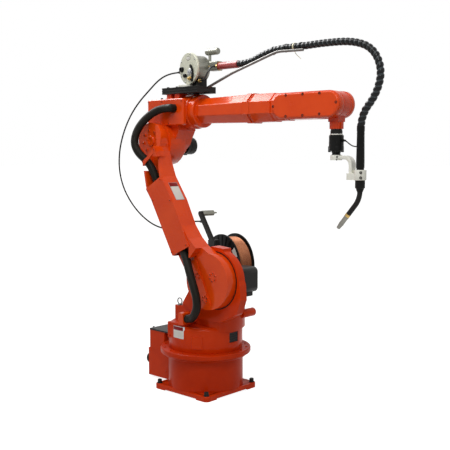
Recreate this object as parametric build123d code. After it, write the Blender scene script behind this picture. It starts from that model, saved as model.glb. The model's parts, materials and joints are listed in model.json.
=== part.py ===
from build123d import *
import os
from math import atan2, cos, degrees, radians, sin, tan

os.makedirs("parts", exist_ok=True)

# Driving dimensions in millimetres. X is forward, Y is to the arm's left, Z is up.
# The origin is the middle of the foot plate's underside, on the first axis.
running_gap = 0.3

bolt_pitch = 312
plate_margin = 19
plate_side = bolt_pitch + 2 * plate_margin
plate_thick = 25
plate_corner_r = 22
bolt_hole_r = 9
relief_length = 210
relief_depth = 12
relief_height = 5

drum_r = 178
rim_step_r = 200
rim_r = 215
rim_step_z = 170
rim_z = 182
rim_top_z = 207

box_half_width = 60
box_back_x = -345
box_low_z = 12
box_step_z = 150
box_step = 14
box_top_z = 243
box_upper_front_x = -226
box_clearance = 3
lid_thick = 7
lid_front_x = -190
knob_r = 5
port_r = 24
port_length = 18

shoulder_x = 162
shoulder_z = 550
elbow_x = -222
elbow_z = 1168
roll_z = 1318
wrist_x = 742

skirt_r = 176
skirt_top_z = 326
cheek_r = 142
cheek_out_y = -105
cheek_in_y = -62
housing_in_y = 55
cap_top_z = 702
cap_half = 46
body_left_x = -112
body_right_x = 196
body_back_y = 120
body_top_z = 432
body_front_corner_r = 90
body_overhang = 12
body_back_corner_r = 40
cone_end_r = 112
cone_end_y = -35

arm_out_y = -195
arm_face_y = -160
arm_disc_r = 128
arm_end_r = 87
arm_end_shift_z = 12
arm_seat_r = 88
arm_wall = 11
arm_floor_y = -141
cover_thick = 5

elbow_r = 100
box_out_y = -100
box_lid_thick = 20
box_in_y = 72
box_left_x = -290
box_right_x = -45
box_bottom_z = 1253
box_roof_z = 1376
roll_ring_r = 82
roll_ring_x = -100
roll_gap_x = -45
tube_ring_r = 77
tube_start_x = -5

tube_flats_start = 113
tube_flats_end = 122
collar_flats = 130
collar_x = 286
collar_end_x = 326
tube_end_x = 440
fork_r = 55
fork_rear_x = 510
fork_out_y = -56
fork_far_y = 48
fork_half_gap = 30
fork_web_x = 655
fork_cover_r = 52
fork_cover_thick = 14

wrist_r = 54
neck_half = 24.4
neck_block_z = 1248
neck_r = 24.3
neck_end_z = 1219

flange_r = 22.5
flange_end_z = 1203
ring_r = 24
ring_end_z = 1195
sensor_r = 30
sensor_end_z = 1131
stub_r = 16
stub_end_z = 1115
hub_end_z = 1094
hub_r = 24

torch_offset = 116
torch_r = 15
torch_top_z = 1213
clamp_top_z = 1056
clamp_end_z = 1015
clamp_r = 25
nut_r = 20
nut_end_z = 980
neck_tube_d = 21
neck_tube_bend_r = 90
neck_tube_angle = 40
torch_tip_z = 818
nozzle_length = 66
nozzle_ring_length = 12
nozzle_r = 10

spool_x = -70
spool_y = 190
spool_z = 572
spool_yaw = 12
spool_r = 150
spool_width = 90
spool_flange = 6
spool_bore_gap = 0.08
spool_hub_r = 55
winding_r = 136
spindle_r = 25
bracket_thick = 10

guide_foot_x = -78
guide_foot_z = 688
guide_head_x = -172
guide_head_z = 822
guide_bar_width = 24
guide_bar_thick = 16
guide_r = 14
guide_length = 66

feeder_x = -50
feeder_y = -60
feeder_z = 1514
feeder_yaw = 10
feeder_plate_r = 73
feeder_plate_thick = 13
feeder_drum_r = 61
feeder_drum_length = 72
wire_y = 20
outlet_x = 22
outlet_length = 52
sleeve_end_x = 190
sleeve_r = 17
inlet_x = -195
inlet_r = 6
rail_left_x = -209
rail_right_x = 28
rail_low_z = 1400
rail_high_z = 1430

torch_cable_d = 33
arm_hose_d = 38
thin_conduit_d = 8
gas_hose_d = 8
sensor_lead_d = 5


def slab(face, y_low, y_high):
    """A flat outline drawn in X and Z, thick from y_low to y_high."""
    return extrude(Plane.XZ.offset(-y_high) * face, amount=y_high - y_low)


def bar_x(x_low, x_high, y, z, r):
    return Pos((x_low + x_high) / 2, y, z) * Rot(0, 90, 0) * Cylinder(r, x_high - x_low)


def bar_y(x, z, y_low, y_high, r):
    return Pos(x, (y_low + y_high) / 2, z) * Rot(90, 0, 0) * Cylinder(r, y_high - y_low)


def bar_z(x, y, z_low, z_high, r):
    return Pos(x, y, (z_low + z_high) / 2) * Cylinder(r, z_high - z_low)


def block(x_low, x_high, y_low, y_high, z_low, z_high):
    middle = ((x_low + x_high) / 2, (y_low + y_high) / 2, (z_low + z_high) / 2)
    return Pos(*middle) * Box(x_high - x_low, y_high - y_low, z_high - z_low)


def outline(*points):
    return make_face(Polyline(*points, close=True))


def disc(x, z, r):
    return Pos(x, z) * Circle(r)


def stadium(x_low, x_high, z, r):
    return Pos((x_low + x_high) / 2, z) * SlotCenterToCenter(x_high - x_low, 2 * r)


def turned(x, y, yaw):
    """A place turned about the upright line through x and y."""
    return Pos(x, y, 0) * Rot(0, 0, -yaw)


def corner_radii(points):
    """The radius at each inner point of a route, from its two runs and its turn."""
    radii = []
    for before, here, after in zip(points, points[1:], points[2:]):
        run_in = Vector(*here) - Vector(*before)
        run_out = Vector(*after) - Vector(*here)
        turn = run_in.get_angle(run_out)
        shorter = min(run_in.length, run_out.length)
        radii.append(0.45 * shorter / tan(radians(turn / 2)))
    return radii


def cord_tube(name, points, diameter, radii=None):
    """A plain round cord along straight runs and tangent arcs."""
    radii = radii or corner_radii(points)
    path = FilletPolyline(*points, radius=radii)
    section = Plane(origin=path @ 0, z_dir=path % 0) * Circle(diameter / 2)
    tube = sweep(section, path=path)
    share = tube.volume / (section.area * path.length)
    print(name, "length", round(path.length), "volume share", round(share, 4))
    print("  radii", [round(r) for r in radii])
    return tube


def cut_route(points, runs):
    """Splits a route at the middle of each named run, with the radii of the whole route."""
    radii = corner_radii(points)
    pieces = []
    start = [points[0]]
    first = 1
    for run in list(runs) + [None]:
        last = len(points) - 1 if run is None else run + 1
        inner = points[first:last]
        if run is None:
            end = points[-1]
        else:
            end = tuple((a + b) / 2 for a, b in zip(points[run], points[run + 1]))
        pieces.append((start + list(inner) + [end], radii[first - 1:last - 1]))
        start = [end]
        first = last
    return pieces


nodes = {}

# Foot: plate, drum, rim and the connector box behind
plate_face = RectangleRounded(plate_side, plate_side, plate_corner_r)
plate = extrude(plate_face, amount=plate_thick)
for hole_x in (-bolt_pitch / 2, bolt_pitch / 2):
    for hole_y in (-bolt_pitch / 2, bolt_pitch / 2):
        plate -= bar_z(hole_x, hole_y, 0, plate_thick, bolt_hole_r)
for quarter in range(4):
    relief = block(
        plate_side / 2 - relief_depth, plate_side, -relief_length / 2, relief_length / 2, -1, relief_height
    )
    plate -= Rot(0, 0, 90 * quarter) * relief
nodes["base_plate"] = plate

drum = bar_z(0, 0, plate_thick, rim_step_z, drum_r)
drum += Pos(0, 0, rim_step_z) * Cylinder(
    rim_step_r, rim_z - rim_step_z, align=(Align.CENTER, Align.CENTER, Align.MIN)
)
drum = chamfer(drum.edges().filter_by(GeomType.CIRCLE).group_by(Axis.Z)[1], 5)
rim = bar_z(0, 0, rim_z, rim_top_z, rim_r)
rim = fillet(rim.edges().filter_by(GeomType.CIRCLE), 6)
nodes["base_drum"] = drum + rim

box_low_front_x = -plate_side / 2 - box_clearance
box_outline = outline(
    (box_back_x, box_low_z),
    (box_low_front_x, box_low_z),
    (box_low_front_x, plate_thick + box_clearance),
    (-drum_r + 30, plate_thick + box_clearance),
    (-drum_r + 30, rim_step_z - 10),
    (box_upper_front_x, rim_step_z - 10),
    (box_upper_front_x, box_top_z),
    (box_back_x + box_step, box_top_z),
    (box_back_x + box_step, box_step_z),
    (box_back_x, box_step_z),
)
connector_box = slab(box_outline, -box_half_width, box_half_width)
connector_box = fillet(connector_box.edges().filter_by(Axis.Z).group_by(Axis.X)[0], 5)
connector_box -= bar_z(0, 0, plate_thick, rim_step_z, drum_r)
for side in (-1, 1):
    port_z = (box_low_z + box_step_z) / 2 + 10
    connector_box += bar_x(box_back_x - port_length, box_back_x, side * box_half_width / 2, port_z, port_r)
nodes["connector_box"] = connector_box

lid = block(
    box_back_x + box_step - 2, lid_front_x, -box_half_width - 2, box_half_width + 2, box_top_z, box_top_z + lid_thick
)
lid = fillet(lid.edges().filter_by(Axis.Z), 4)
lid += bar_z(box_back_x + box_step + 12, -box_half_width + 14, box_top_z + lid_thick, box_top_z + lid_thick + 8, knob_r)
nodes["connector_lid"] = lid

# Turret: skirt, housing with the round shoulder cheek, cap and lug
turret = bar_z(0, 0, rim_top_z + running_gap, skirt_top_z, skirt_r)
turret = fillet(turret.edges().filter_by(GeomType.CIRCLE).group_by(Axis.Z)[-1], 22)
body_front_y = cheek_out_y + 12
body = block(body_left_x, body_right_x, body_front_y, body_back_y, skirt_top_z - 20, body_top_z)
front_right, back_right = body.edges().filter_by(Axis.Z).group_by(Axis.X)[-1].sort_by(Axis.Y)
body = fillet(front_right, body_front_corner_r)
back_right = body.edges().filter_by(Axis.Z).group_by(Axis.Y)[-1].sort_by(Axis.X)[-1]
body = fillet(back_right, body_back_corner_r)
left_slope = outline(
    (body_left_x - 1, skirt_top_z + 24),
    (body_left_x + 62, body_top_z - 12),
    (0, 2 * body_top_z),
    (body_left_x - 1, 2 * body_top_z),
)
body -= slab(left_slope, 2 * cheek_out_y, 2 * body_back_y)
body &= bar_z(0, 0, 0, 2 * body_top_z, skirt_r + body_overhang)
turret += body


def near_shoulder(dx, dz):
    return (shoulder_x + dx, shoulder_z + dz)


cheek_outline = outline(
    near_shoulder(-212, -130),
    near_shoulder(-167, -65),
    near_shoulder(-cheek_r, 0),
    near_shoulder(0, 60),
    near_shoulder(119, 72),
    near_shoulder(149, -10),
    near_shoulder(154, -76),
    near_shoulder(130, -140),
    near_shoulder(34, -190),
    near_shoulder(-100, -190),
)
cheek_face = cheek_outline + disc(shoulder_x, shoulder_z, cheek_r)
turret += slab(cheek_face, cheek_out_y, cheek_in_y)
cone_place = Pos(shoulder_x, cheek_in_y, shoulder_z) * Rot(-90, 0, 0)
from_base = (Align.CENTER, Align.CENTER, Align.MIN)
turret += cone_place * Cone(cheek_r, cone_end_r, cone_end_y - cheek_in_y, align=from_base)
cap_outline = outline(
    (shoulder_x - cap_half, shoulder_z + 100),
    (shoulder_x + cap_half + 4, shoulder_z + 100),
    (shoulder_x + cap_half, cap_top_z - 6),
    (shoulder_x - cap_half + 20, cap_top_z),
    (shoulder_x - cap_half, cap_top_z - 14),
)
turret += slab(cap_outline, cheek_out_y + 4, cheek_in_y + 14)
turret += block(-85, 25, -168, -100, 262, 336)
lug_x = 172
lug_z = 372
turret += bar_y(lug_x, lug_z, 60, 146, 20)
window_x = skirt_r - 9
turret -= block(window_x, skirt_r + 5, -22, 40, 248, 296)
nodes["turret_housing"] = turret

louvre = block(window_x, window_x + 3, -22 + running_gap, 40 - running_gap, 248 + running_gap, 296 - running_gap)
for slat in range(4):
    slat_z = 255 + 11 * slat
    louvre += block(window_x + 2, window_x + 6, -19, 37, slat_z, slat_z + 5)
nodes["turret_louvre"] = louvre

motor_box_top_z = 392
motor_box = block(-150, -70, -62, 42, skirt_top_z, motor_box_top_z)
motor_box = fillet(motor_box.edges().filter_by(Axis.Z), 8)
motor_box -= turret
nodes["turn_motor_box"] = motor_box

eye_x = -126
eye_y = -45
eye_r = 12
eye_z = motor_box_top_z + 20
eye = Pos(eye_x, eye_y, eye_z) * Rot(90, 0, 0) * Torus(eye_r, 4)
eye += bar_z(eye_x, eye_y, motor_box_top_z, eye_z - eye_r, 5)
eye += bar_z(eye_x, eye_y, motor_box_top_z, motor_box_top_z + 4, 12)
nodes["eye_bolt"] = eye

motor_y = cone_end_y
motor_length = 162
shoulder_motor = Pos(shoulder_x, motor_y + motor_length / 2, shoulder_z - 16) * Box(112, motor_length, 118)
shoulder_motor = fillet(shoulder_motor.edges().filter_by(Axis.Y), 24)
shoulder_motor += block(shoulder_x + 6, shoulder_x + 42, motor_y + 102, motor_y + 142, shoulder_z - 92, shoulder_z - 60)
nodes["shoulder_motor"] = shoulder_motor

gland = block(2, 34, -184, -136, 336, 392)
gland = fillet(gland.edges().filter_by(Axis.Y), 6)
gland += block(2, 34, -140, cheek_out_y + 12, 344, 384)
gland -= turret
nodes["hose_gland"] = gland

# Spool on its spindle, with the wire guide above
spool_place = turned(spool_x, spool_y, spool_yaw)
bracket_front = -52
bracket = spool_place * block(-34, 34, bracket_front, bracket_front + bracket_thick, body_top_z - 30, spool_z + 128)
bracket += spool_place * bar_y(0, spool_z, bracket_front, spool_width + 14, spindle_r)
bracket += block(-70, 0, 40, 142, body_top_z, body_top_z + bracket_thick)
bracket -= turret
nodes["spool_bracket"] = bracket

spool_profile = outline(
    (spindle_r + spool_bore_gap, 0),
    (spool_r, 0),
    (spool_r, spool_flange),
    (spool_hub_r, spool_flange),
    (spool_hub_r, spool_width - spool_flange),
    (spool_r, spool_width - spool_flange),
    (spool_r, spool_width),
    (spindle_r + spool_bore_gap, spool_width),
)
spool = revolve(Plane.XY * spool_profile, axis=Axis.Y)
rib_count = 24
for rib in range(rib_count):
    spool += Rot(0, 360 / rib_count * rib, 0) * block(62, spool_r - 6, -3, 0.5, -1.5, 1.5)
nodes["wire_spool"] = spool_place * Pos(0, 0, spool_z) * spool

winding = bar_y(0, 0, spool_flange, spool_width - spool_flange, winding_r)
winding -= bar_y(0, 0, 0, spool_width, spool_hub_r)
nodes["copper_winding"] = spool_place * Pos(0, 0, spool_z) * winding

bar_back = bracket_front
bar_front = bracket_front - guide_bar_thick
foot = Vector(5, guide_foot_z)
head = Vector(-100, guide_head_z)
lean = degrees(atan2(head.Y - foot.Y, head.X - foot.X))
bar_length = (head - foot).length
bar_place = Pos((foot.X + head.X) / 2, (foot.Y + head.Y) / 2) * Rot(0, 0, lean)
guide_bar = slab(bar_place * SlotCenterToCenter(bar_length, guide_bar_width), bar_front, bar_back)
guide_bar += block(-24, 30, bar_front, bar_back, guide_foot_z - 26, guide_foot_z + 8)
clip_z = 781
clip_x = -86
clip_end_x = -104
clip_y = (bar_front + bar_back) / 2
guide_bar += bar_x(clip_end_x, clip_x + 20, clip_y, clip_z, 6)
nodes["wire_guide_bar"] = spool_place * guide_bar

guide = bar_y(head.X, head.Y, bar_back, bar_back + guide_length, guide_r)
tip_y = bar_back + guide_length
upward = (Align.CENTER, Align.CENTER, Align.MIN)
guide_tip = Pos(head.X, tip_y, head.Y) * Rot(-90, 0, 0) * Cone(6, 3.5, 22, align=upward)
nodes["wire_guide"] = spool_place * (guide + guide_tip)

# Lower arm: a channel section between the two big discs
def near_elbow(dx, dz):
    return (elbow_x + dx, elbow_z + dz)


arm_outline = outline(
    near_elbow(-42, -30),
    near_elbow(3, -105),
    near_elbow(23, -204),
    near_elbow(64, -263),
    near_shoulder(-179, 101),
    near_shoulder(-126, 25),
    near_shoulder(0, -20),
    near_shoulder(70, 104),
    near_shoulder(20, 124),
    near_shoulder(-34, 152),
    near_shoulder(-78, 190),
    near_shoulder(-120, 244),
    near_elbow(207, -259),
    near_elbow(133, -152),
    near_elbow(113, -101),
    near_elbow(84, -11),
    near_elbow(0, 12),
)
end_x = elbow_x
end_z = elbow_z + arm_end_shift_z
arm_face = arm_outline + disc(end_x, end_z, arm_end_r)
arm_back_y = cheek_out_y - running_gap
arm = slab(arm_face, arm_out_y, arm_back_y)
arm += slab(disc(shoulder_x, shoulder_z, arm_disc_r), arm_face_y, arm_back_y)
arm += slab(disc(elbow_x, elbow_z, arm_seat_r), arm_back_y - 14, arm_back_y)
low_cut = outline(
    near_shoulder(-222, 105),
    near_shoulder(-72, 105),
    near_shoulder(-22, 162),
    near_shoulder(138, 170),
    near_shoulder(138, -170),
    near_shoulder(-222, -170),
)
arm -= slab(low_cut, arm_out_y - 1, arm_face_y)
channel = outline(
    near_elbow(14, -100),
    near_elbow(23 + arm_wall, -206),
    near_elbow(64 + arm_wall, -263),
    near_shoulder(-170, 106),
    near_shoulder(-154, 80),
    near_shoulder(-78, 90),
    near_shoulder(-78, 156),
    near_elbow(190, -262),
    near_elbow(118, -158),
    near_elbow(98, -104),
    near_elbow(74, -30),
    near_elbow(14, -30),
)
arm -= slab(channel, arm_out_y - 1, arm_floor_y)
disc_window = outline(
    near_elbow(-120, 140),
    near_elbow(28, 140),
    near_elbow(29, 101),
    near_elbow(73, -30),
    near_elbow(73, -60),
    near_elbow(-120, -60),
)
arm -= slab(disc_window, arm_out_y - 1, arm_floor_y)
ear = outline(near_elbow(-78, -23), near_elbow(-90, -38), near_elbow(-40, -106), near_elbow(0, -106))
arm += slab(ear, -152, arm_back_y)
hose_notch = outline(near_elbow(-120, -8), near_elbow(14, -8), near_elbow(20, -128), near_elbow(-120, -128))
arm -= slab(hose_notch, arm_out_y - 1, -152)
taper_face = outline(
    (arm_out_y - 1, end_z - 165),
    (arm_floor_y, end_z + 89),
    (arm_floor_y, end_z + 120),
    (arm_out_y - 1, end_z + 120),
)
taper = extrude(Plane.YZ.offset(elbow_x + 14) * taper_face, amount=200)
arm -= taper
groove = Pos(139, 560) * Rot(0, 0, -65) * Rectangle(250, 13)
arm -= slab(groove, arm_face_y - 1, arm_face_y + 7)
cover_face = outline(
    near_elbow(25, -212),
    near_elbow(131, -150),
    near_elbow(207, -259),
    near_shoulder(-72, 156),
    near_shoulder(-179, 105),
    near_elbow(64, -264),
)
nodes["arm_cover"] = slab(cover_face, arm_out_y - cover_thick, arm_out_y)

strap_face = outline(
    near_elbow(10, -106),
    near_elbow(10, -81),
    near_elbow(39, -62),
    near_elbow(92, -16),
    near_elbow(98, -34),
    near_elbow(42, -80),
)
strap_y = arm_out_y - 8
arm += slab(strap_face, strap_y, strap_y + 5)
strap_foot = outline(near_elbow(84, -60), near_elbow(84, -12), near_elbow(98, -34), near_elbow(106, -60))
arm += slab(strap_foot, strap_y, arm_face_y + 10)
nodes["lower_arm"] = arm

# Elbow: round housing on the third axis, flat covers and the roll ring
elbow_in_y = 45
elbow_step_y = -10
elbow_boss_r = 58
elbow = bar_y(elbow_x, elbow_z, cheek_out_y, elbow_step_y, elbow_r)
elbow += bar_y(elbow_x, elbow_z, elbow_step_y, elbow_in_y, elbow_boss_r)
neck_outline = outline(
    near_elbow(-80, 94),
    near_elbow(162, 94),
    near_elbow(158, 76),
    near_elbow(119, 60),
    near_elbow(84, -6),
    near_elbow(42, -44),
    near_elbow(-5, -93),
    near_elbow(-96, -8),
)
elbow += slab(neck_outline, -74, 36)
box_core_y = box_out_y + box_lid_thick
elbow += block(box_left_x, box_right_x - 55, box_core_y, box_in_y, box_bottom_z, box_roof_z)
elbow += bar_x(box_left_x + 60, roll_ring_x, 0, roll_z, roll_ring_r - 6)
elbow -= block(roll_ring_x, 0, -100, 100, 1200, 1400)
lid_place = Pos((box_left_x + box_right_x) / 2, (box_bottom_z + box_roof_z) / 2)
lid_face = lid_place * RectangleRounded(box_right_x - box_left_x, box_roof_z - box_bottom_z, 9)
elbow_cover = slab(lid_face, box_out_y, box_core_y)
elbow_cover = chamfer(elbow_cover.faces().sort_by(Axis.Y)[0].edges(), 4)
elbow_cover -= bar_x(roll_ring_x - 1, 0, 0, roll_z, roll_ring_r)
elbow_cover -= bar_y(elbow_x, elbow_z, cheek_out_y, elbow_in_y, elbow_r)
nodes["elbow_cover"] = elbow_cover

roll_ring = bar_x(roll_ring_x, roll_gap_x, 0, roll_z, roll_ring_r)
roll_ring = fillet(roll_ring.edges().filter_by(GeomType.CIRCLE), 6)
elbow += roll_ring
for foot_left in (-186, -132):
    elbow += block(foot_left, foot_left + 30, -70, 40, box_roof_z - 2, rail_low_z)
nodes["elbow_housing"] = elbow

motor_side = 96
motor_depth = 60
motor_x = elbow_x + 14
motor_z = elbow_z - 11
elbow_motor = Pos(motor_x, elbow_in_y + 11 + motor_depth / 2, motor_z) * Box(motor_side, motor_depth, motor_side)
elbow_motor = fillet(elbow_motor.edges().filter_by(Axis.Y), 22)
elbow_motor += bar_y(elbow_x, elbow_z, elbow_in_y, elbow_in_y + 12, 40)
elbow_motor += block(motor_x - 40, motor_x - 4, 76, 108, motor_z - 66, motor_z - 46)
elbow_motor -= elbow
nodes["elbow_motor"] = elbow_motor

# Wire feeder on its rail above the elbow
rail = block(rail_left_x, rail_right_x, -80, -34, rail_low_z, rail_high_z)
rail += block(rail_left_x, rail_right_x, 6, 44, rail_low_z, rail_high_z)
for bridge_left, bridge_right in ((-60, rail_right_x), (rail_left_x, -165)):
    rail += block(bridge_left, bridge_right, -40, 10, rail_low_z + 6, rail_high_z)
nodes["feeder_rail"] = rail
feeder_place = turned(feeder_x, feeder_y, feeder_yaw)
drum_end = feeder_plate_thick + feeder_drum_length
feeder_barrel = feeder_place * bar_y(0, feeder_z, feeder_plate_thick, drum_end, feeder_drum_r)
stand = feeder_place * block(-38, 40, feeder_plate_thick + 10, drum_end - 8, rail_high_z, feeder_z - 40)
stand -= feeder_barrel
stand += feeder_place * bar_x(38, 54, 30, 1456, 6)
nodes["feeder_stand"] = stand
feeder_plate = feeder_place * bar_y(0, feeder_z, 0, feeder_plate_thick, feeder_plate_r)
feeder_plate = fillet(feeder_plate.edges().filter_by(GeomType.CIRCLE), 3)
nodes["feeder_plate"] = feeder_plate
feeder_drum = fillet(feeder_barrel.edges().filter_by(GeomType.CIRCLE).group_by(Axis.Y)[-1], 7)
wire_out_z = feeder_z + 8
wire_in_z = feeder_z - 3
feeder_drum += bar_x(outlet_x - 50, outlet_x, wire_y, wire_out_z, 15)
feeder_drum += bar_x(inlet_x + 30, -90, wire_y, wire_in_z, 11)
nodes["feeder_drum"] = feeder_drum
outlet = block(outlet_x, outlet_x + outlet_length, wire_y - 19, wire_y + 19, feeder_z - 12, feeder_z + 30)
outlet = fillet(outlet.edges().filter_by(Axis.X), 5) - feeder_barrel
nodes["feeder_outlet"] = outlet
nodes["cable_sleeve"] = bar_x(outlet_x + outlet_length, sleeve_end_x, wire_y, wire_out_z, sleeve_r)
handle_z = feeder_z + 77
handle_r = 15
handle = bar_x(-8, 66, wire_y, handle_z, handle_r)
handle = fillet(handle.edges().filter_by(GeomType.CIRCLE), 3)
post = bar_z(12, wire_y, feeder_z + 20, handle_z, 7) - feeder_drum
nodes["feeder_handle"] = handle + post
inlet = Pos(inlet_x, wire_y, wire_in_z) * Rot(0, 90, 0) * Cone(inlet_r, 10, 30, align=upward)
nodes["feeder_inlet"] = inlet


# Forearm: eight-sided tube, collar, fork and its cover
def octagon(x, flats):
    face = RegularPolygon(flats / 2, 8, major_radius=False, rotation=22.5)
    return Plane(origin=(x, 0, roll_z), x_dir=(0, 1, 0), z_dir=(1, 0, 0)) * face


tube_ring = bar_x(roll_gap_x + running_gap, tube_start_x, 0, roll_z, tube_ring_r)
tube_ring = fillet(tube_ring.edges().filter_by(GeomType.CIRCLE), 5)
forearm = loft([octagon(tube_start_x - 8, tube_flats_start), octagon(collar_x, tube_flats_end)])
forearm += tube_ring
forearm += extrude(octagon(collar_x, collar_flats), amount=collar_end_x - collar_x)
forearm += extrude(octagon(collar_end_x, tube_flats_end), amount=tube_end_x - collar_end_x)
notch_x = collar_end_x - 14
for quarter in range(4):
    notch = block(notch_x, notch_x + 8, collar_flats / 2 - 9, collar_flats, -24, 24)
    forearm -= Pos(0, 0, roll_z) * Rot(45 + 90 * quarter, 0, 0) * notch
nodes["forearm_tube"] = forearm

fork = extrude(octagon(tube_end_x, tube_flats_end - 6), amount=fork_rear_x - tube_end_x)
fork = fork & block(0, 900, fork_out_y, 70, 1200, 1400)
fork += slab(stadium(fork_rear_x, wrist_x, roll_z, fork_r), fork_out_y, fork_far_y)
fork -= block(fork_web_x, 900, -fork_half_gap, fork_half_gap, 1200, 1400)
nodes["wrist_fork"] = fork

cover_middle = stadium(fork_rear_x, wrist_x + 5, roll_z, fork_cover_r)
fork_cover = slab(cover_middle, fork_out_y - fork_cover_thick, fork_out_y)
fork_cover = fillet(fork_cover.faces().sort_by(Axis.Y)[0].edges(), 9)
nodes["fork_cover"] = fork_cover

# Wrist: drum between the fork cheeks with the neck below
half_drum = fork_half_gap - running_gap
wrist = bar_y(wrist_x, roll_z, -half_drum, half_drum, wrist_r)
wrist += block(wrist_x - neck_half, wrist_x + neck_half, -neck_half, neck_half, neck_block_z, roll_z)
wrist += bar_z(wrist_x, 0, neck_end_z, neck_block_z, neck_r)
nodes["wrist_body"] = wrist

# Tool: flange, sensor, bracket, clamp and torch
tool_flange = bar_z(wrist_x, 0, flange_end_z, neck_end_z - running_gap, flange_r)
tool_flange += bar_z(wrist_x, 0, ring_end_z, flange_end_z, ring_r)
nodes["tool_flange"] = tool_flange
sensor = bar_z(wrist_x, 0, sensor_end_z, ring_end_z, sensor_r)
sensor = fillet(sensor.edges().filter_by(GeomType.CIRCLE), 3)
sensor += bar_z(wrist_x, 0, stub_end_z, sensor_end_z, stub_r)
nodes["collision_sensor"] = sensor

torch_x = wrist_x + torch_offset
hub = bar_z(wrist_x, 0, hub_end_z, stub_end_z, hub_r)
arm_drop_x = torch_x - 38
arm_path = FilletPolyline((wrist_x, 0, 1105), (arm_drop_x, 0, 1105), (arm_drop_x, 0, 1034), radius=30)
arm_section = Plane(origin=arm_path @ 0, z_dir=arm_path % 0, x_dir=(0, 1, 0)) * RectangleRounded(34, 15, 4)
torch_bracket = hub + sweep(arm_section, path=arm_path)
torch_bracket += block(torch_x - 52, torch_x - 10, -20, 20, clamp_end_z, clamp_top_z - 14)
clamp_shape = bar_z(torch_x, 0, clamp_end_z, clamp_top_z, clamp_r)
torch_bracket -= clamp_shape
nodes["torch_bracket"] = torch_bracket
nodes["torch_clamp"] = clamp_shape - bar_z(torch_x, 0, clamp_end_z, clamp_top_z, torch_r)

nodes["torch_body"] = bar_z(torch_x, 0, clamp_end_z, torch_top_z, torch_r)
nut = bar_z(torch_x, 0, nut_end_z, clamp_end_z, nut_r)
nut = chamfer(nut.edges().filter_by(GeomType.CIRCLE).group_by(Axis.Z)[0], 5)
nodes["torch_nut"] = nut

tip = Vector(wrist_x + 14, 0, torch_tip_z)
aim = Vector(sin(radians(neck_tube_angle)), 0, cos(radians(neck_tube_angle)))
bend_point = tip + aim * ((torch_x - tip.X) / aim.X)
ring_start = tip + aim * nozzle_length
ring_end = ring_start + aim * nozzle_ring_length
neck_path = FilletPolyline((torch_x, 0, nut_end_z), bend_point, ring_end, radius=neck_tube_bend_r)
neck_section = Plane(origin=neck_path @ 0, z_dir=neck_path % 0) * Circle(neck_tube_d / 2)
nodes["swan_neck"] = sweep(neck_section, path=neck_path)


def along_aim(start, length, r_start, r_end):
    place = Location(Plane(origin=start, z_dir=aim))
    if r_start == r_end:
        return place * Cylinder(r_start, length, align=upward)
    return place * Cone(r_start, r_end, length, align=upward)


nodes["nozzle_ring"] = along_aim(ring_start, nozzle_ring_length, nozzle_r + 1, nozzle_r + 1)
nozzle = along_aim(tip, 22, nozzle_r - 2.5, nozzle_r)
nozzle += along_aim(tip + aim * 22, nozzle_length - 22, nozzle_r, nozzle_r)
nozzle -= along_aim(tip - aim, 30, nozzle_r - 4, nozzle_r - 4)
nodes["gas_nozzle"] = nozzle

# Support rod that carries the torch cable
rod_y = -7
rod_points = [(20, rod_y, 1424), (180, rod_y, 1482), (436, rod_y, 1554), (575, rod_y, 1550)]
rod_path = FilletPolyline(*rod_points, radius=[120, 160])
rod_section = Plane(origin=rod_path @ 0, z_dir=rod_path % 0) * Circle(6)
rod = sweep(rod_section, path=rod_path)
rod -= block(-40, rail_right_x, -40, 60, rail_low_z, rail_high_z)
nodes["support_rod"] = rod

# Cords
cable_route = [
    (sleeve_end_x, wire_y, wire_out_z),
    (256, wire_y, wire_out_z),
    (335, 19, 1552),
    (430, 17, 1570),
    (560, 14, 1568),
    (670, 11, 1571),
    (812, 10, 1566),
    (905, 8, 1529),
    (948, 6, 1443),
    (925, 4, 1350),
    (torch_x, 0, 1272),
    (torch_x, 0, torch_top_z),
]
cable_names = ["torch_cable_rear", "torch_cable_top", "torch_cable_bend", "torch_cable_front"]
for name, (points, radii) in zip(cable_names, cut_route(cable_route, [3, 5, 7])):
    nodes[name] = cord_tube(name, points, torch_cable_d, radii)

clip_end = (spool_place * Pos(clip_end_x, clip_y, clip_z)).position
clip_way = (spool_place * Pos(clip_end_x - 70, clip_y, clip_z)).position
thin_route = [
    (inlet_x, wire_y, wire_in_z),
    (-258, wire_y, wire_in_z),
    (-350, 31, 1488),
    (-440, 42, 1437),
    (-525, 49, 1384),
    (-602, 55, 1316),
    (-664, 61, 1232),
    (-706, 67, 1140),
    (-719, 73, 1040),
    (-697, 80, 944),
    (-641, 88, 860),
    (-566, 97, 792),
    (-475, 107, 744),
    (-376, 118, 729),
    tuple(clip_way),
    tuple(clip_end),
]
thin_names = ["wire_conduit_upper", "wire_conduit_lower"]
for name, (points, radii) in zip(thin_names, cut_route(thin_route, [8])):
    nodes[name] = cord_tube(name, points, thin_conduit_d, radii)

hose_start_x = -118
gland_x = 34
gland_y = -160
gland_z = 364
hose_route = [
    (hose_start_x, -125, 1331),
    (-164, -125, 1331),
    (-206, -144, 1312),
    (-246, -170, 1272),
    (-272, -190, 1222),
    (-274, -202, 1168),
    (-248, -198, 1122),
    (-208, -174, 1084),
    (-170, -167, 1030),
    (-152, -165, 980),
    (-117, -164, 905),
    (-54, -163, 800),
    (4, -166, 716),
    (52, -182, 656),
    (92, -198, 590),
    (124, -205, 530),
    (146, -206, 475),
    (148, -200, 420),
    (118, -178, 376),
    (76, gland_y, gland_z),
    (gland_x, gland_y, gland_z),
]
hose_names = ["arm_hose_upper", "arm_hose_middle", "arm_hose_lower"]
for name, (points, radii) in zip(hose_names, cut_route(hose_route, [8, 11])):
    nodes[name] = cord_tube(name, points, arm_hose_d, radii)
hose_socket = block(hose_start_x, hose_start_x + 26, -148, box_out_y, 1308, 1354)
nodes["hose_socket"] = fillet(hose_socket.edges().filter_by(Axis.X), 8)

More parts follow.
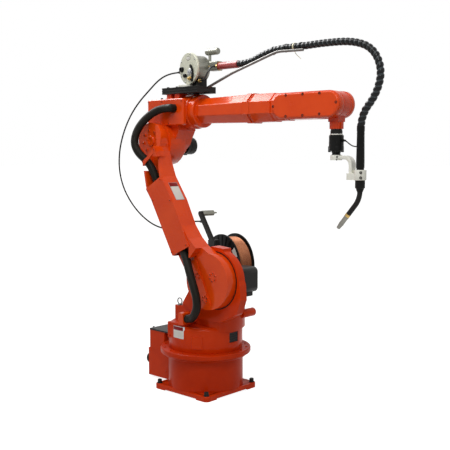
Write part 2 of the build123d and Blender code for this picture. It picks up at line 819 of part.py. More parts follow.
fitting_end = (feeder_place * Pos(54, 30, 1456)).position
fitting_way = (feeder_place * Pos(76, 30, 1456)).position
gas_route = [
    (60, wire_y - 19, feeder_z + 6),
    (60, -18, feeder_z + 6),
    (58, -38, 1498),
    (50, -46, 1472),
    tuple(fitting_way),
    tuple(fitting_end),
]
nodes["gas_hose"] = cord_tube("gas_hose", gas_route, gas_hose_d)

lead_route = [
    (wrist_x + sensor_r, 0, 1173),
    (787, 0, 1173),
    (806, 0, 1158),
    (826, 0, 1148),
    (torch_x - torch_r, 0, 1148),
]
nodes["sensor_lead"] = cord_tube("sensor_lead", lead_route, sensor_lead_d)

for name, shape in nodes.items():
    export_step(shape, f"parts/{name}.step")
print(len(nodes), "nodes")
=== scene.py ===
import json
from bisect import bisect_right
from math import cos, degrees, pi, radians, sin

import bmesh
import bpy
from mathutils import Matrix, Vector, noise


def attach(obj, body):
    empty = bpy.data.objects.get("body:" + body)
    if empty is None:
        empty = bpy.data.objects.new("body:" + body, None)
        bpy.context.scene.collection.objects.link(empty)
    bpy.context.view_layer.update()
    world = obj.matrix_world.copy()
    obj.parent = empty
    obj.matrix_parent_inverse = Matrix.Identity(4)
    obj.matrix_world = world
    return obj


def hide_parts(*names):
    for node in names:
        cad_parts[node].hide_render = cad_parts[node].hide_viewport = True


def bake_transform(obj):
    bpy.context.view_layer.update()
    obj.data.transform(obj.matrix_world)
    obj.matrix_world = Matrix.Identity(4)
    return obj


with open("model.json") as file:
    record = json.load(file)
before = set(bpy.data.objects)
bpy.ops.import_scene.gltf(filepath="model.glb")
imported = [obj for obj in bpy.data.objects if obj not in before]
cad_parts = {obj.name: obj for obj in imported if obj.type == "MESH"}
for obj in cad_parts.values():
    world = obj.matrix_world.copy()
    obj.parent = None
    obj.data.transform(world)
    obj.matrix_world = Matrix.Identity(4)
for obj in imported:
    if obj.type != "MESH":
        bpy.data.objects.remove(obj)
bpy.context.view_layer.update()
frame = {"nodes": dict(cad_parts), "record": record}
nodes = frame["nodes"]
mm = 0.001
front, rearward, leftward, ahead, upward = (0, -1, 0), (-1, 0, 0), (0, 1, 0), (1, 0, 0), (0, 0, 1)
print("frame loaded:", len(nodes), "nodes")

# Camera: the photograph's own viewing angle
cameraView = {
    "place": (2.617, -2.686, 1.119),
    "azimuth": 42.84,
    "lookDown": 5.1,
    "lens": 63.68,
    "sensor": 36,
}


def addCamera(view):
    data = bpy.data.cameras.new("camera")
    data.lens = view["lens"]
    data.sensor_width = view["sensor"]
    data.clip_end = 200
    camera = bpy.data.objects.new("camera", data)
    camera.location = view["place"]
    camera.rotation_euler = (radians(90 - view["lookDown"]), 0, radians(view["azimuth"]))
    bpy.context.collection.objects.link(camera)
    bpy.context.scene.camera = camera


addCamera(cameraView)
print("camera placed")


# Shared shader effects, each a node group that is placed in the materials
def tone(code):
    # a colour as it is seen on screen, turned into the linear value that the shader takes
    channels = [int(code[n:n + 2], 16) / 255 for n in (0, 2, 4)]
    return [c / 12.92 if c <= 0.04045 else ((c + 0.055) / 1.055) ** 2.4 for c in channels] + [1]


def feed(tree, socket, value):
    # a number, a colour or another node's output into a socket
    if isinstance(value, bpy.types.NodeSocket):
        tree.links.new(value, socket)
    else:
        socket.default_value = value


def addNode(tree, kind, settings=None, inputs=None):
    node = tree.nodes.new("ShaderNode" + kind)
    for key, value in (settings or {}).items():
        setattr(node, key, value)
    for key, value in (inputs or {}).items():
        feed(tree, node.inputs[key], value)
    return node


def addMath(tree, operation, first, second, clamp=False):
    settings = {"operation": operation, "use_clamp": clamp}
    return addNode(tree, "Math", settings, {0: first, 1: second}).outputs[0]


def addRange(tree, value, low, high, newLow=0, newHigh=1):
    limits = {"Value": value, "From Min": low, "From Max": high, "To Min": newLow, "To Max": newHigh}
    return addNode(tree, "MapRange", None, limits).outputs[0]


def addMix(tree, factor, first, second):
    return addNode(tree, "Mix", {"data_type": "RGBA"}, {"Factor": factor, 6: first, 7: second}).outputs[2]


def addNoise(tree, vector, scale, detail, roughness):
    inputs = {"Vector": vector, "Scale": scale, "Detail": detail, "Roughness": roughness}
    return addNode(tree, "TexNoise", None, inputs).outputs["Fac"]


def effectGroup(name, inputs, outputs):
    group = bpy.data.node_groups.new(name, "ShaderNodeTree")
    for label, value in inputs.items():
        socket = group.interface.new_socket(name=label, in_out="INPUT", socket_type="NodeSocketFloat")
        socket.default_value = value
    for label in outputs:
        group.interface.new_socket(name=label, in_out="OUTPUT", socket_type="NodeSocketFloat")
    return group, group.nodes.new("NodeGroupInput").outputs, group.nodes.new("NodeGroupOutput").inputs


def placeGroup(tree, group, inputs):
    return addNode(tree, "Group", {"node_tree": group}, inputs).outputs


def endMask(group, source, target, mask, fineness, limits):
    # the mask broken up by patches of noise and weighed by the group's amount
    place = addNode(group, "TexCoord").outputs["Object"]
    patches = addRange(group, addNoise(group, place, source["Patch Scale"], *fineness), *limits)
    mask = addMath(group, "MULTIPLY", mask, patches)
    feed(group, target["Mask"], addMath(group, "MULTIPLY", mask, source["Amount"], clamp=True))
    return group


def buildEdgeWear():
    # a mask along convex and concave edges, in patches
    inputs = {"Width": 0.0015, "Amount": 0.5, "Patch Scale": 40}
    group, source, target = effectGroup("edgeWear", inputs, ["Mask"])
    rounded = addNode(group, "Bevel", {"samples": 4}, {"Radius": source["Width"]}).outputs["Normal"]
    surface = addNode(group, "NewGeometry").outputs["Normal"]
    facing = addNode(group, "VectorMath", {"operation": "DOT_PRODUCT"}, {0: rounded, 1: surface})
    edge = addRange(group, addMath(group, "SUBTRACT", 1, facing.outputs["Value"]), 0.02, 0.25)
    return endMask(group, source, target, edge, (4, 0.7), (0.42, 0.62))


def buildDustFilm():
    # dust that settles on what faces up, in soft patches
    group, source, target = effectGroup("dustFilm", {"Amount": 0.3, "Patch Scale": 9}, ["Mask"])
    normal = addNode(group, "NewGeometry").outputs["Normal"]
    height = addNode(group, "SeparateXYZ", None, {0: normal}).outputs["Z"]
    return endMask(group, source, target, addRange(group, height, 0.1, 1), (6, 0.65), (0.35, 0.7))


def buildSurfaceGrain():
    # a fine height, the slow swell of a cast surface, and a slow drift for colour and roughness
    scales = {"Grain Scale": 600, "Drift Scale": 6, "Swell Scale": 22}
    group, source, target = effectGroup("surfaceGrain", scales, ["Height", "Swell", "Drift"])
    place = addNode(group, "TexCoord").outputs["Object"]
    feed(group, target["Height"], addNoise(group, place, source["Grain Scale"], 3, 0.55))
    feed(group, target["Swell"], addNoise(group, place, source["Swell Scale"], 2, 0.5))
    drift = addNoise(group, place, source["Drift Scale"], 5, 0.6)
    feed(group, target["Drift"], addRange(group, drift, 0.3, 0.7))
    return group


def buildRubMarks():
    # long thin marks from handling, at two slants
    group, source, target = effectGroup("rubMarks", {"Mark Scale": 30, "Amount": 0.4}, ["Mask"])
    place = addNode(group, "TexCoord").outputs["Object"]
    masks = []
    for turn in ((0.4, 0.3, 0.9), (1.2, 0.9, 0.2)):
        slanted = addNode(group, "Mapping", None, {"Vector": place, "Rotation": turn, "Scale": (1, 14, 14)})
        lines = addNoise(group, slanted.outputs["Vector"], source["Mark Scale"], 2, 0.5)
        masks.append(addRange(group, lines, 0.66, 0.74))
    both = addMath(group, "ADD", *masks)
    feed(group, target["Mask"], addMath(group, "MULTIPLY", both, source["Amount"], clamp=True))
    return group


edgeWear = buildEdgeWear()
dustFilm = buildDustFilm()
surfaceGrain = buildSurfaceGrain()
rubMarks = buildRubMarks()


def finishMaterial(name, look):
    # the base of every finish: drifting colour, rub marks, worn edges, dust, grain and its sheen
    material = bpy.data.materials.new(name)
    material.use_nodes = True
    tree = material.node_tree
    shader = tree.nodes["Principled BSDF"].inputs
    grain = placeGroup(tree, surfaceGrain, {"Grain Scale": look["grain"]})
    wear = placeGroup(tree, edgeWear, {"Amount": look["wear"], "Patch Scale": look["patch"]})["Mask"]
    dust = placeGroup(tree, dustFilm, {"Amount": look["dust"]})["Mask"]
    marks = placeGroup(tree, rubMarks, {"Amount": look["marks"]})["Mask"]
    colour, *tones = [tone(code) for code in look["tones"].split()]
    for mask, layer in zip((grain["Drift"], marks, wear, dust), tones):
        colour = addMix(tree, mask, colour, layer)
    feed(tree, shader["Base Color"], colour)
    rough = addRange(tree, grain["Drift"], 0, 1, look["rough"] - 0.05, look["rough"] + 0.06)
    rough = addMath(tree, "ADD", rough, addMath(tree, "MULTIPLY", marks, 0.25))
    rough = addMath(tree, "ADD", rough, addMath(tree, "MULTIPLY", dust, 0.5), clamp=True)
    feed(tree, shader["Roughness"], rough)
    shader["Metallic"].default_value = look["metal"]
    shader["Coat Weight"].default_value = look["coat"]
    shader["Coat Roughness"].default_value = look["coatRough"]
    shader["Specular IOR Level"].default_value = look["specular"]
    swell = {"Height": grain["Swell"], "Strength": 0.5, "Distance": look["swell"] * mm}
    bump = {"Height": grain["Height"], "Strength": look["bump"], "Distance": look["depth"] * mm}
    bump["Normal"] = addNode(tree, "Bump", None, swell).outputs["Normal"]
    feed(tree, shader["Normal"], addNode(tree, "Bump", None, bump).outputs["Normal"])
    return material


# Finishes, named for what they cover. Their tones are the paint, its drift, rub marks, worn edges and dust
finishColumns = "tones rough specular metal coat coatRough grain bump depth swell wear patch dust marks"
finishTable = {
    "orangeEnamel": ("e74b08 d83e04 ea6030 f07848 d2764f",
        0.26, 0.1, 0, 0.22, 0.06, 240, 0.14, 0.2, 1.2, 0.35, 26, 0.03, 0.1),
    "orangeTurned": ("e04205 cd3603 e4521f cd3603 d2764f",
        0.24, 0.1, 0, 0.25, 0.06, 260, 0.12, 0.2, 0.8, 0, 26, 0.03, 0.1),
    # the next two are the orange paint made darker as painted shade for the housings low on the robot, their
    # screws and the base drum, with a duller coat
    "orangeCast": ("d83c03 c53202 e04c18 e2622c c8603a",
        0.36, 0.05, 0, 0.1, 0.1, 240, 0.16, 0.3, 1.4, 0.3, 24, 0.03, 0.12),
    "orangeDrum": ("cc3503 b82c02 d5481a b82c02 b9583a",
        0.4, 0.04, 0, 0.08, 0.12, 260, 0.14, 0.3, 1, 0, 22, 0.04, 0.15),
    "blackPaint": ("1a1918 262422 39352f 5c5751 6b655c",
        0.38, 0.12, 0, 0, 0.1, 700, 0.3, 0.4, 0.2, 0.45, 40, 0.12, 0.3),
    "hoseRubber": ("171511 211e19 3d3a34 35312b 6f6a60",
        0.42, 0.08, 0, 0, 0.1, 900, 0.3, 0.3, 0.2, 0.2, 40, 0.07, 0.25),
    "conduitBlack": ("1c1c1c 2b2b2b 565656 2b2b2b 7b766c",
        0.3, 0.35, 0, 0, 0.1, 1100, 0.2, 0.4, 0.2, 0.1, 40, 0.1, 0.3),
    "wrapBlack": ("0b0c0c 141617 3a4042 3f4649 5d6264",
        0.16, 0.13, 0, 0.12, 0.04, 500, 0.2, 0.2, 0.2, 0.2, 40, 0.05, 0.3),
    "cableCore": ("1f2426 363e41 6a7478 363e41 6d7272",
        0.3, 0.3, 0, 0, 0.1, 900, 0.2, 0.4, 0.2, 0.1, 40, 0.1, 0.3),
    "blackPlastic": ("0f0f0e 191918 34332f 474541 5f5b54",
        0.32, 0.1, 0, 0, 0.1, 1200, 0.35, 0.3, 0.2, 0.3, 40, 0.05, 0.25),
    "creamPlastic": ("d8d8c4 cbcbb4 b5b298 a7a48c a79d85",
        0.34, 0.5, 0, 0.25, 0.1, 800, 0.2, 0.4, 0.2, 0.4, 40, 0.16, 0.25),
    "whitePaint": ("f3f2e8 e8e6d8 bcb8aa a9a69b a89f8e",
        0.38, 0.5, 0, 0.2, 0.1, 600, 0.2, 0.4, 0.2, 0.4, 40, 0.15, 0.2),
    "greyMetal": ("93938a 7b7b70 6f6b5c c8c6bd b9ae9f",
        0.38, 0.5, 0.7, 0, 0.1, 500, 0.35, 0.5, 0.2, 0.5, 40, 0.2, 0.35),
    "bareSteel": ("b6b7b8 9b9c9d 7e7d7a d6d6d6 b9ae9f",
        0.3, 0.5, 1, 0, 0.1, 800, 0.2, 0.4, 0.2, 0.4, 40, 0.12, 0.35),
    "rodSteel": ("6b6966 565452 9c9a95 a3a19d b9ae9f",
        0.34, 0.5, 0.8, 0, 0.1, 700, 0.2, 0.4, 0.2, 0.4, 40, 0.1, 0.5),
    # darkSteel: real dark steel on the clamp's screws and the badge's rim, and painted shade inside the
    # sockets of the other screws
    "darkSteel": ("34322f 45423e 45423e 8b867e b9ae9f",
        0.38, 0.5, 0.8, 0, 0.1, 900, 0.2, 0.4, 0.2, 0.5, 40, 0.12, 0.2),
    "nozzleSteel": ("8b8982 6f6d66 55524a c4c2ba b9ae9f",
        0.34, 0.5, 0.9, 0, 0.1, 700, 0.2, 0.4, 0.2, 0.4, 40, 0.15, 0.5),
    "brassFinish": ("bd9f62 a2854c 8a6f3a e0cc98 b9ae9f",
        0.28, 0.5, 1, 0, 0.1, 700, 0.2, 0.4, 0.2, 0.5, 40, 0.12, 0.3),
    "copperWire": ("98603f 7f4d34 6b4632 d2a27c b9ae9f",
        0.46, 0.5, 0.8, 0, 0.1, 900, 0.2, 0.4, 0.2, 0.1, 40, 0.05, 0.25),
    "redSleeve": ("ad3f3c 9a3330 d3958f c97a74 cda29b",
        0.36, 0.5, 0, 0.2, 0.1, 900, 0.2, 0.4, 0.2, 0.2, 40, 0.2, 0.35),
    "bareLabel": ("d9d7cf cfccc2 b7b3a6 a5a299 b9ae9f",
        0.32, 0.5, 0, 0.2, 0.1, 700, 0.2, 0.4, 0.2, 0.3, 40, 0.12, 0.3),
    "labelBand": ("8a1016 780c12 9c4a42 a4554f b9ae9f",
        0.38, 0.12, 0, 0, 0.1, 700, 0.2, 0.4, 0.2, 0.2, 40, 0.04, 0.15),
    "tieNylon": ("e6dfc0 d8cfa8 d8cfa8 d8cfa8 b9ae9f",
        0.35, 0.5, 0, 0, 0.1, 900, 0.2, 0.4, 0.2, 0.1, 40, 0.1, 0.3),
}
finishes = {}
for name, row in finishTable.items():
    finishes[name] = finishMaterial(name, dict(zip(finishColumns.split(), row)))
slotFinish = {
    "orange_paint": "orangeEnamel", "black_paint": "blackPaint", "black_rubber": "hoseRubber",
    "black_plastic": "blackPlastic", "cream_plastic": "creamPlastic", "white_paint": "whitePaint",
    "grey_metal": "greyMetal", "bare_steel": "bareSteel", "brass": "brassFinish", "copper": "copperWire",
    "red_rubber": "redSleeve",
}
print("finishes ready:", len(finishes))


# Mesh helpers
def turnsOf(count, start=0):
    return [start + 2 * pi * n / count for n in range(count)]


def placeAt(point, axis):
    # a place whose own Z runs along the axis
    turn = Vector(axis).to_track_quat("Z", "Y").to_matrix().to_4x4()
    return Matrix.Translation(Vector(point)) @ turn


def facePlace(origin, across, normal):
    # a place with its X across the face and its Z out of it
    x = Vector(across).normalized()
    z = Vector(normal).normalized()
    turn = Matrix((x, z.cross(x), z)).transposed().to_4x4()
    return Matrix.Translation(Vector(origin)) @ turn


def ringPoints(middle, axis, radius, count, start=0):
    place = placeAt(middle, axis)
    return [place @ Vector((radius * cos(t), radius * sin(t), 0)) for t in turnsOf(count, start)]


def arcPoints(middle, radius, start, end, steps):
    # the points of an arc from one angle to another, in degrees
    turns = [radians(start + (end - start) * n / steps) for n in range(steps + 1)]
    return [(middle[0] + radius * cos(t), middle[1] + radius * sin(t)) for t in turns]


def ovalPoints(halfWidth, halfHeight):
    return [(halfWidth * cos(t), halfHeight * sin(t)) for t in turnsOf(32)]


def bandPoints(middle, near, far, start, end, steps):
    # the outline of a bent band between two radii
    return arcPoints(middle, near, start, end, steps) + arcPoints(middle, far, end, start, steps)


def skinRings(bm, rings, index=0, looped=False):
    # faces from ring to ring, with the ends closed, or joined to each other
    pairs = list(zip(rings, rings[1:]))
    if looped:
        pairs.append((rings[-1], rings[0]))
    faces = [bm.faces.new((a[n - 1], a[n], b[n], b[n - 1])) for a, b in pairs for n in range(len(a))]
    if not looped:
        faces += [bm.faces.new(list(reversed(rings[0]))), bm.faces.new(rings[-1])]
    for face in faces:
        face.material_index = index
    return faces


def addTurned(bm, place, rings, sides=24, index=0, looped=False):
    # a solid turned about the place's Z: rings of (height, radius) or (height, radius, "hex")
    made = []
    for height, radius, *shape in rings:
        flats = [cos(pi / 6) / cos(turn % (pi / 3) - pi / 6) if shape else 1 for turn in turnsOf(sides)]
        reaches = [radius * flat for flat in flats]
        spots = [(reach * cos(t), reach * sin(t), height) for t, reach in zip(turnsOf(sides), reaches)]
        made.append([bm.verts.new(place @ Vector(spot)) for spot in spots])
    return skinRings(bm, made, index, looped)


def addSunkScrews(bm, points, axis, radius, height, index=0, socketShadeIndex=1):
    # socket head screws whose recess faces take a second, darker finish, painted shade inside the socket
    rings = [
        (0, radius), (height * 0.8, radius), (height, radius * 0.88), (height, radius * 0.6, "hex"),
        (height * 0.3, radius * 0.58, "hex"), (height * 0.25, radius * 0.1),
    ]
    for point in points:
        for face in addTurned(bm, placeAt(point, axis), rings, 24, index)[1 + 3 * 24:]:
            face.material_index = socketShadeIndex


def easeAndPlace(bm, faces, edges, radius, place, index):
    # the edges rounded and the shape moved to its place
    for face in faces:
        face.material_index = index
    if radius:
        eased = bmesh.ops.bevel(bm, geom=edges, offset=radius, segments=2, affect="EDGES", profile=0.5)
        made = eased["faces"]
        for face in made:
            face.material_index = index
        faces = [face for face in faces if face.is_valid] + made
    for vert in {vert for face in faces for vert in face.verts}:
        vert.co = place @ vert.co


def addBlock(bm, low, high, radius, place=Matrix.Identity(4)):
    # a block between two corners with rounded edges
    verts = bmesh.ops.create_cube(bm, size=1)["verts"]
    size = Vector(high) - Vector(low)
    middle = (Vector(high) + Vector(low)) / 2
    for vert in verts:
        vert.co = vert.co * size + middle
    edges = list({edge for vert in verts for edge in vert.link_edges})
    faces = list({face for vert in verts for face in vert.link_faces})
    easeAndPlace(bm, faces, edges, radius, place, 0)


def addPlate(bm, points, thick, place, radius=0.001, index=0):
    # a flat outline in the place's X and Y, thick along its Z, with the upper edges eased
    rings = [[bm.verts.new((x, y, z)) for x, y in points] for z in (0, thick)]
    faces = skinRings(bm, rings, index)
    easeAndPlace(bm, faces, list(faces[-1].edges), radius, place, index)


def addLabel(bm, label):
    # a thin plate with a plain band over its upper part and a fine border
    place = facePlace(label["origin"], label["across"], label["normal"])
    wide, tall, thick, edge = label["wide"], label["tall"], label["thick"], label["edge"]
    split = tall - label["band"]
    lift = place @ Matrix.Translation((0, 0, thick))
    plates = [
        (0, 0, wide, tall, thick, place, 0.0002, 2),
        (edge, edge, wide - edge, split, thick * 0.6, lift, 0.0001, 0),
        (edge, split + edge / 2, wide - edge, tall - edge, thick * 0.6, lift, 0.0001, 1),
    ]
    for left, low, right, high, *rest in plates:
        addPlate(bm, [(left, low), (right, low), (right, high), (left, high)], *rest)


def addCurvedPad(bm, pad, index=0):
    # a raised pad that follows a drum, with slanted sides
    start, end = pad["turns"]
    low, high, slope = pad["low"], pad["high"], pad["slope"]
    rows = [(low, 0), (low + slope, 1), (high - slope, 1), (high, 0)]
    sunk = 0.002
    base = pad["radius"] - sunk
    columns = []
    for n in range(13):
        turn = radians(start + (end - start) * n / 12)
        rise = 0 if n in (0, 12) else pad["thick"] + sunk
        spots = [((base + up * rise) * cos(turn), (base + up * rise) * sin(turn), z) for z, up in rows]
        columns.append([bm.verts.new(spot) for spot in spots])
    for left, right in zip(columns, columns[1:]):
        for k in range(len(rows)):
            face = bm.faces.new((left[k - 1], right[k - 1], right[k], left[k]))
            face.material_index = index


def addCurvedLabel(bm, label):
    # a thin plate bent round the skirt, with a plain band over its upper part and a fine border
    edge = label["edge"]
    inset = degrees(edge / label["radius"])
    inner = (label["turns"][0] + inset, label["turns"][1] - inset)
    split = label["high"] - label["band"]
    spans = [
        (label["turns"], label["low"], label["high"], 1, 2),
        (inner, label["low"] + edge, split, 1.6, 0),
        (inner, split + edge / 2, label["high"] - edge, 1.6, 1),
    ]
    for turns, low, high, raised, index in spans:
        pad = label | {"turns": turns, "low": low, "high": high, "thick": label["thick"] * raised}
        addCurvedPad(bm, pad, index)


def makePiece(name, bm, body, slotName, finishNames=(), smooth=34):
    bmesh.ops.recalc_face_normals(bm, faces=bm.faces[:])
    mesh = bpy.data.meshes.new(name)
    bm.to_mesh(mesh)
    bm.free()
    mesh.polygons.foreach_set("use_smooth", [True] * len(mesh.polygons))
    mesh.set_sharp_from_angle(angle=radians(smooth))
    for finish in finishNames or [slotFinish[slotName]]:
        mesh.materials.append(finishes[finish])
    piece = bpy.data.objects.new(name, mesh)
    bpy.context.collection.objects.link(piece)
    if body:
        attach(piece, body)
    return piece


shapeMakers = {
    "turned": addTurned, "screws": addSunkScrews, "blocks": addBlock, "plates": addPlate,
    "pads": addCurvedPad, "labels": addLabel, "curvedLabels": addCurvedLabel,
}


def buildPieces(table):
    # each piece of a table: "part" holds its body, slot and finishes, the rest says what it is made of
    for name, look in table.items():
        bm = bmesh.new()
        for kind, maker in shapeMakers.items():
            for values in look.get(kind, []):
                maker(bm, *values)
        body, slotName, *finishNames = look["part"]
        piece = makePiece(name, bm, body, slotName, finishNames, look.get("smooth", 34))
        if "replaces" in look:
            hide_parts(look["replaces"])


# Lines that the cords and the pieces along them follow
def routeLine(name, route, detail=20):
    curve = bpy.data.curves.new(name + "Line", "CURVE")
    curve.dimensions = "3D"
    curve.resolution_u = detail
    spline = curve.splines.new("NURBS")
    spline.points.add(len(route) - 1)
    for point, place in zip(spline.points, route):
        point.co = (*place, 1)
    spline.order_u = 3
    spline.use_endpoint_u = True
    holder = bpy.data.objects.new(name + "Line", curve)
    shape = bpy.data.meshes.new_from_object(holder)
    points = [vert.co.copy() for vert in shape.vertices]
    bpy.data.objects.remove(holder)
    bpy.data.meshes.remove(shape)
    bpy.data.curves.remove(curve)
    return Line(points)


class Line:
    # a smooth line with the distance and an untwisted cross direction at each of its points
    def __init__(self, points):
        self.points = points
        self.distances = [0]
        self.sides = []
        for here, after in zip(points, points[1:]):
            self.distances.append(self.distances[-1] + (after - here).length)
        self.length = self.distances[-1]
        side = Vector((0, 1, 0))
        for n in range(len(points)):
            ahead = self.heading(n)
            side = (side - ahead * side.dot(ahead)).normalized()
            self.sides.append(side)

    def heading(self, n):
        before = self.points[max(0, n - 1)]
        after = self.points[min(len(self.points) - 1, n + 1)]
        return (after - before).normalized()

    def at(self, distance):
        # the point there, and the two directions across the line
        distance = min(max(distance, 0), self.length)
        n = min(max(bisect_right(self.distances, distance) - 1, 0), len(self.points) - 2)
        share = (distance - self.distances[n]) / (self.distances[n + 1] - self.distances[n])
        point = self.points[n].lerp(self.points[n + 1], share)
        ahead = self.heading(n).lerp(self.heading(n + 1), share).normalized()
        side = self.sides[n].lerp(self.sides[n + 1], share)
        side = (side - ahead * side.dot(ahead)).normalized()
        return point, side, ahead.cross(side)

    def nearest(self, place):
        target = Vector(place)
        return min(zip(self.points, self.distances), key=lambda pair: (pair[0] - target).length)[1]

    def part(self, start, end):
        # the line's own points between two distances, with both ends
        inner = [p for p, d in zip(self.points, self.distances) if start + 0.0005 < d < end - 0.0005]
        return [self.at(start)[0]] + inner + [self.at(end)[0]]


def addTube(bm, line, start, end, step, radiusAt, sides=20):
    # a round tube whose radius may change along the line
    count = max(2, round((end - start) / step))
    rings = []
    for n in range(count + 1):
        distance = start + (end - start) * n / count
        point, side, up = line.at(distance)
        radius = radiusAt(distance)
        rings.append([bm.verts.new(point + (side * cos(t) + up * sin(t)) * radius) for t in turnsOf(sides)])
    skinRings(bm, rings)


def addWrap(bm, line, start, end, inner, wrap, index):
    # a helical strip with a rounded back, wound round a cord
    def rimPoint(distance, turn, reach):
        point, side, up = line.at(min(max(distance, start), end))
        return bm.verts.new(point + (side * cos(turn) + up * sin(turn)) * reach)

    count = round((end - start) * wrap["steps"] / wrap["pitch"])
    half = wrap["width"] / 2
    profile = [(-1, 0), (-0.92, 0.75), (-0.55, 1), (0, 1.08), (0.55, 1), (0.92, 0.75), (1, 0)]
    rings = []
    for n in range(count + 1):
        distance = start + (end - start) * n / count
        turn = 2 * pi * distance / wrap["pitch"]
        spots = [(distance + along * half, inner + out * wrap["thick"]) for along, out in profile]
        rings.append([rimPoint(place, turn, reach) for place, reach in spots])
    skinRings(bm, rings, index)


def addWrappedCable(bm, line, start, end, cord):
    # the core runs plain and wider into the torch body at its end
    core, wrapEnd = cord["core"], line.length - cord["bare"]
    addTube(bm, line, start, end, 0.008, lambda distance: core if distance < wrapEnd else core + 0.0015)
    addWrap(bm, line, max(start, 0.004), min(end, wrapEnd), core - 0.0004, cord["wrap"], 1)


def addRibbedTube(bm, line, start, end, cord):
    outer, depth, pitch = cord["diameter"] / 2, cord["ribDepth"], cord["ribPitch"]

    def radiusAt(distance):
        return outer - depth * (0.5 - 0.5 * cos(2 * pi * distance / pitch))

    addTube(bm, line, start, end, pitch / 4, radiusAt, 24)


def layCord(node):
    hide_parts(node)


def holdPiece(piece, hold):
    # on one body, or left where it is with its transform baked in
    if isinstance(hold, str):
        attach(piece, hold)
    else:
        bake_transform(piece)


def buildCord(cord, addShape):
    # one piece a node, cut where the joints bend the cord
    line = routeLine(cord["ending"], cord["route"])
    marks = [0] + [line.nearest(place) for place in cord["cuts"]] + [line.length]
    for (node, hold), start, end in zip(cord["nodes"].items(), marks, marks[1:]):
        bm = bmesh.new()
        addShape(bm, line, start, end, cord)
        piece = makePiece(node + cord["ending"], bm, None, "black_rubber", cord["finishes"], cord["smooth"])
        holdPiece(piece, hold)
        path = line.part(start, end)
        layCord(node)
    return line


# Torch cable: a gas and power hose in a spiral wrap, from the feeder to the torch
cableStart = ("elbow", "forearm", (0.3, 0.0155, 1.569), (0.741, 0.0155, 1.569))
torchCable = {
    "route": [
        (0.19, 0.02, 1.522), (0.256, 0.02, 1.522), (0.335, 0.019, 1.552), (0.43, 0.017, 1.57),
        (0.56, 0.014, 1.568), (0.67, 0.011, 1.571), (0.812, 0.01, 1.566), (0.905, 0.008, 1.529),
        (0.948, 0.006, 1.443), (0.925, 0.004, 1.35), (0.858, 0, 1.272), (0.858, 0, 1.213),
    ],
    "cuts": [(0.495, 0.0155, 1.569), (0.741, 0.0105, 1.5685), (0.9265, 0.007, 1.486)],
    "nodes": {
        "torch_cable_rear": cableStart,
        "torch_cable_top": cableStart,
        "torch_cable_bend": ("forearm", "wrist", (0.741, 0.0105, 1.5685), (0.9265, 0.007, 1.486)),
        "torch_cable_front": ("wrist", "tool", (0.9265, 0.007, 1.486), (0.858, 0, 1.213)),
    },
    "ending": "_wrapped",
    "finishes": ["cableCore", "wrapBlack"],
    "smooth": 40,
    "stiffness": "stiff",
    "diameter": 0.033,
    "core": 0.0128,
    "wrap": {"pitch": 0.022, "width": 0.0155, "thick": 0.003, "steps": 26},
    "bare": 0.012,
}
torchCableLine = buildCord(torchCable, addWrappedCable)

# Arm hose: a corrugated hose from the elbow box down the arm's channel to the turret
armHose = {
    "route": [
        (-0.118, -0.125, 1.331), (-0.164, -0.125, 1.331), (-0.206, -0.144, 1.312), (-0.246, -0.17, 1.272),
        (-0.272, -0.19, 1.222), (-0.274, -0.202, 1.168), (-0.248, -0.198, 1.122), (-0.208, -0.174, 1.084),
        (-0.17, -0.167, 1.03), (-0.152, -0.165, 0.98), (-0.117, -0.164, 0.905), (-0.054, -0.163, 0.8),
        (0.004, -0.166, 0.716), (0.052, -0.182, 0.656), (0.092, -0.198, 0.59), (0.124, -0.205, 0.53),
        (0.146, -0.206, 0.475), (0.14, -0.2, 0.428), (0.105, -0.184, 0.39), (0.068, -0.166, 0.369),
        (0.034, -0.16, 0.364),
    ],
    "cuts": [(-0.161, -0.166, 1.005), (-0.025, -0.1645, 0.758)],
    "nodes": {
        "arm_hose_upper": ("elbow", "arm", (-0.2, -0.14, 1.32), (-0.18, -0.167, 1.04)),
        "arm_hose_middle": "arm",
        "arm_hose_lower": ("arm", "turret", (0.035, -0.17, 0.67), (0.146, -0.2, 0.4)),
    },
    "ending": "_ribbed",
    "finishes": ["hoseRubber"],
    "smooth": 60,
    "stiffness": "medium",
    "diameter": 0.038,
    "ribPitch": 0.0052,
    "ribDepth": 0.0011,
}
buildCord(armHose, addRibbedTube)

# Wire conduit: the thin liner that carries the welding wire round the back
wireConduit = {
    "route": [
        (-0.195, 0.02, 1.511), (-0.258, 0.02, 1.511), (-0.35, 0.031, 1.488), (-0.44, 0.042, 1.437),
        (-0.525, 0.049, 1.384), (-0.602, 0.055, 1.316), (-0.664, 0.061, 1.232), (-0.706, 0.067, 1.14),
        (-0.719, 0.073, 1.04), (-0.697, 0.08, 0.944), (-0.641, 0.088, 0.86), (-0.566, 0.097, 0.792),
        (-0.475, 0.107, 0.744), (-0.376, 0.118, 0.729), (-0.2527, 0.1675, 0.781), (-0.1842, 0.1529, 0.781),
    ],
    "cuts": [(-0.708, 0.0765, 0.992)],
    "nodes": {
        "wire_conduit_upper": ("elbow", "arm", (-0.26, 0.02, 1.51), (-0.708, 0.0765, 0.992)),
        "wire_conduit_lower": ("arm", "turret", (-0.708, 0.0765, 0.992), (-0.26, 0.16, 0.78)),
    },
    "ending": "_ribbed",
    "finishes": ["hoseRubber"],
    "smooth": 60,
    "stiffness": "medium",
    "diameter": 0.008,
    "ribPitch": 0.004,
    "ribDepth": 0.0003,
}
buildCord(wireConduit, addRibbedTube)

# Short cords: the feeder's gas hose and the sensor's lead
gasHose = {
    "route": [
        (0.06, 0.001, 1.52), (0.06, -0.018, 1.52), (0.058, -0.038, 1.498), (0.05, -0.046, 1.472),
        (0.03, -0.0437, 1.456), (0.0084, -0.0398, 1.456),
    ],
    "diameter": 0.008, "body": "elbow", "node": "gas_hose", "stiffness": "medium",
}
sensorLead = {
    "route": [
        (0.772, 0, 1.173), (0.787, 0, 1.173), (0.806, 0, 1.158), (0.826, 0, 1.148), (0.843, 0, 1.148),
    ],
    "diameter": 0.005, "body": "tool", "node": "sensor_lead", "stiffness": "medium",
}


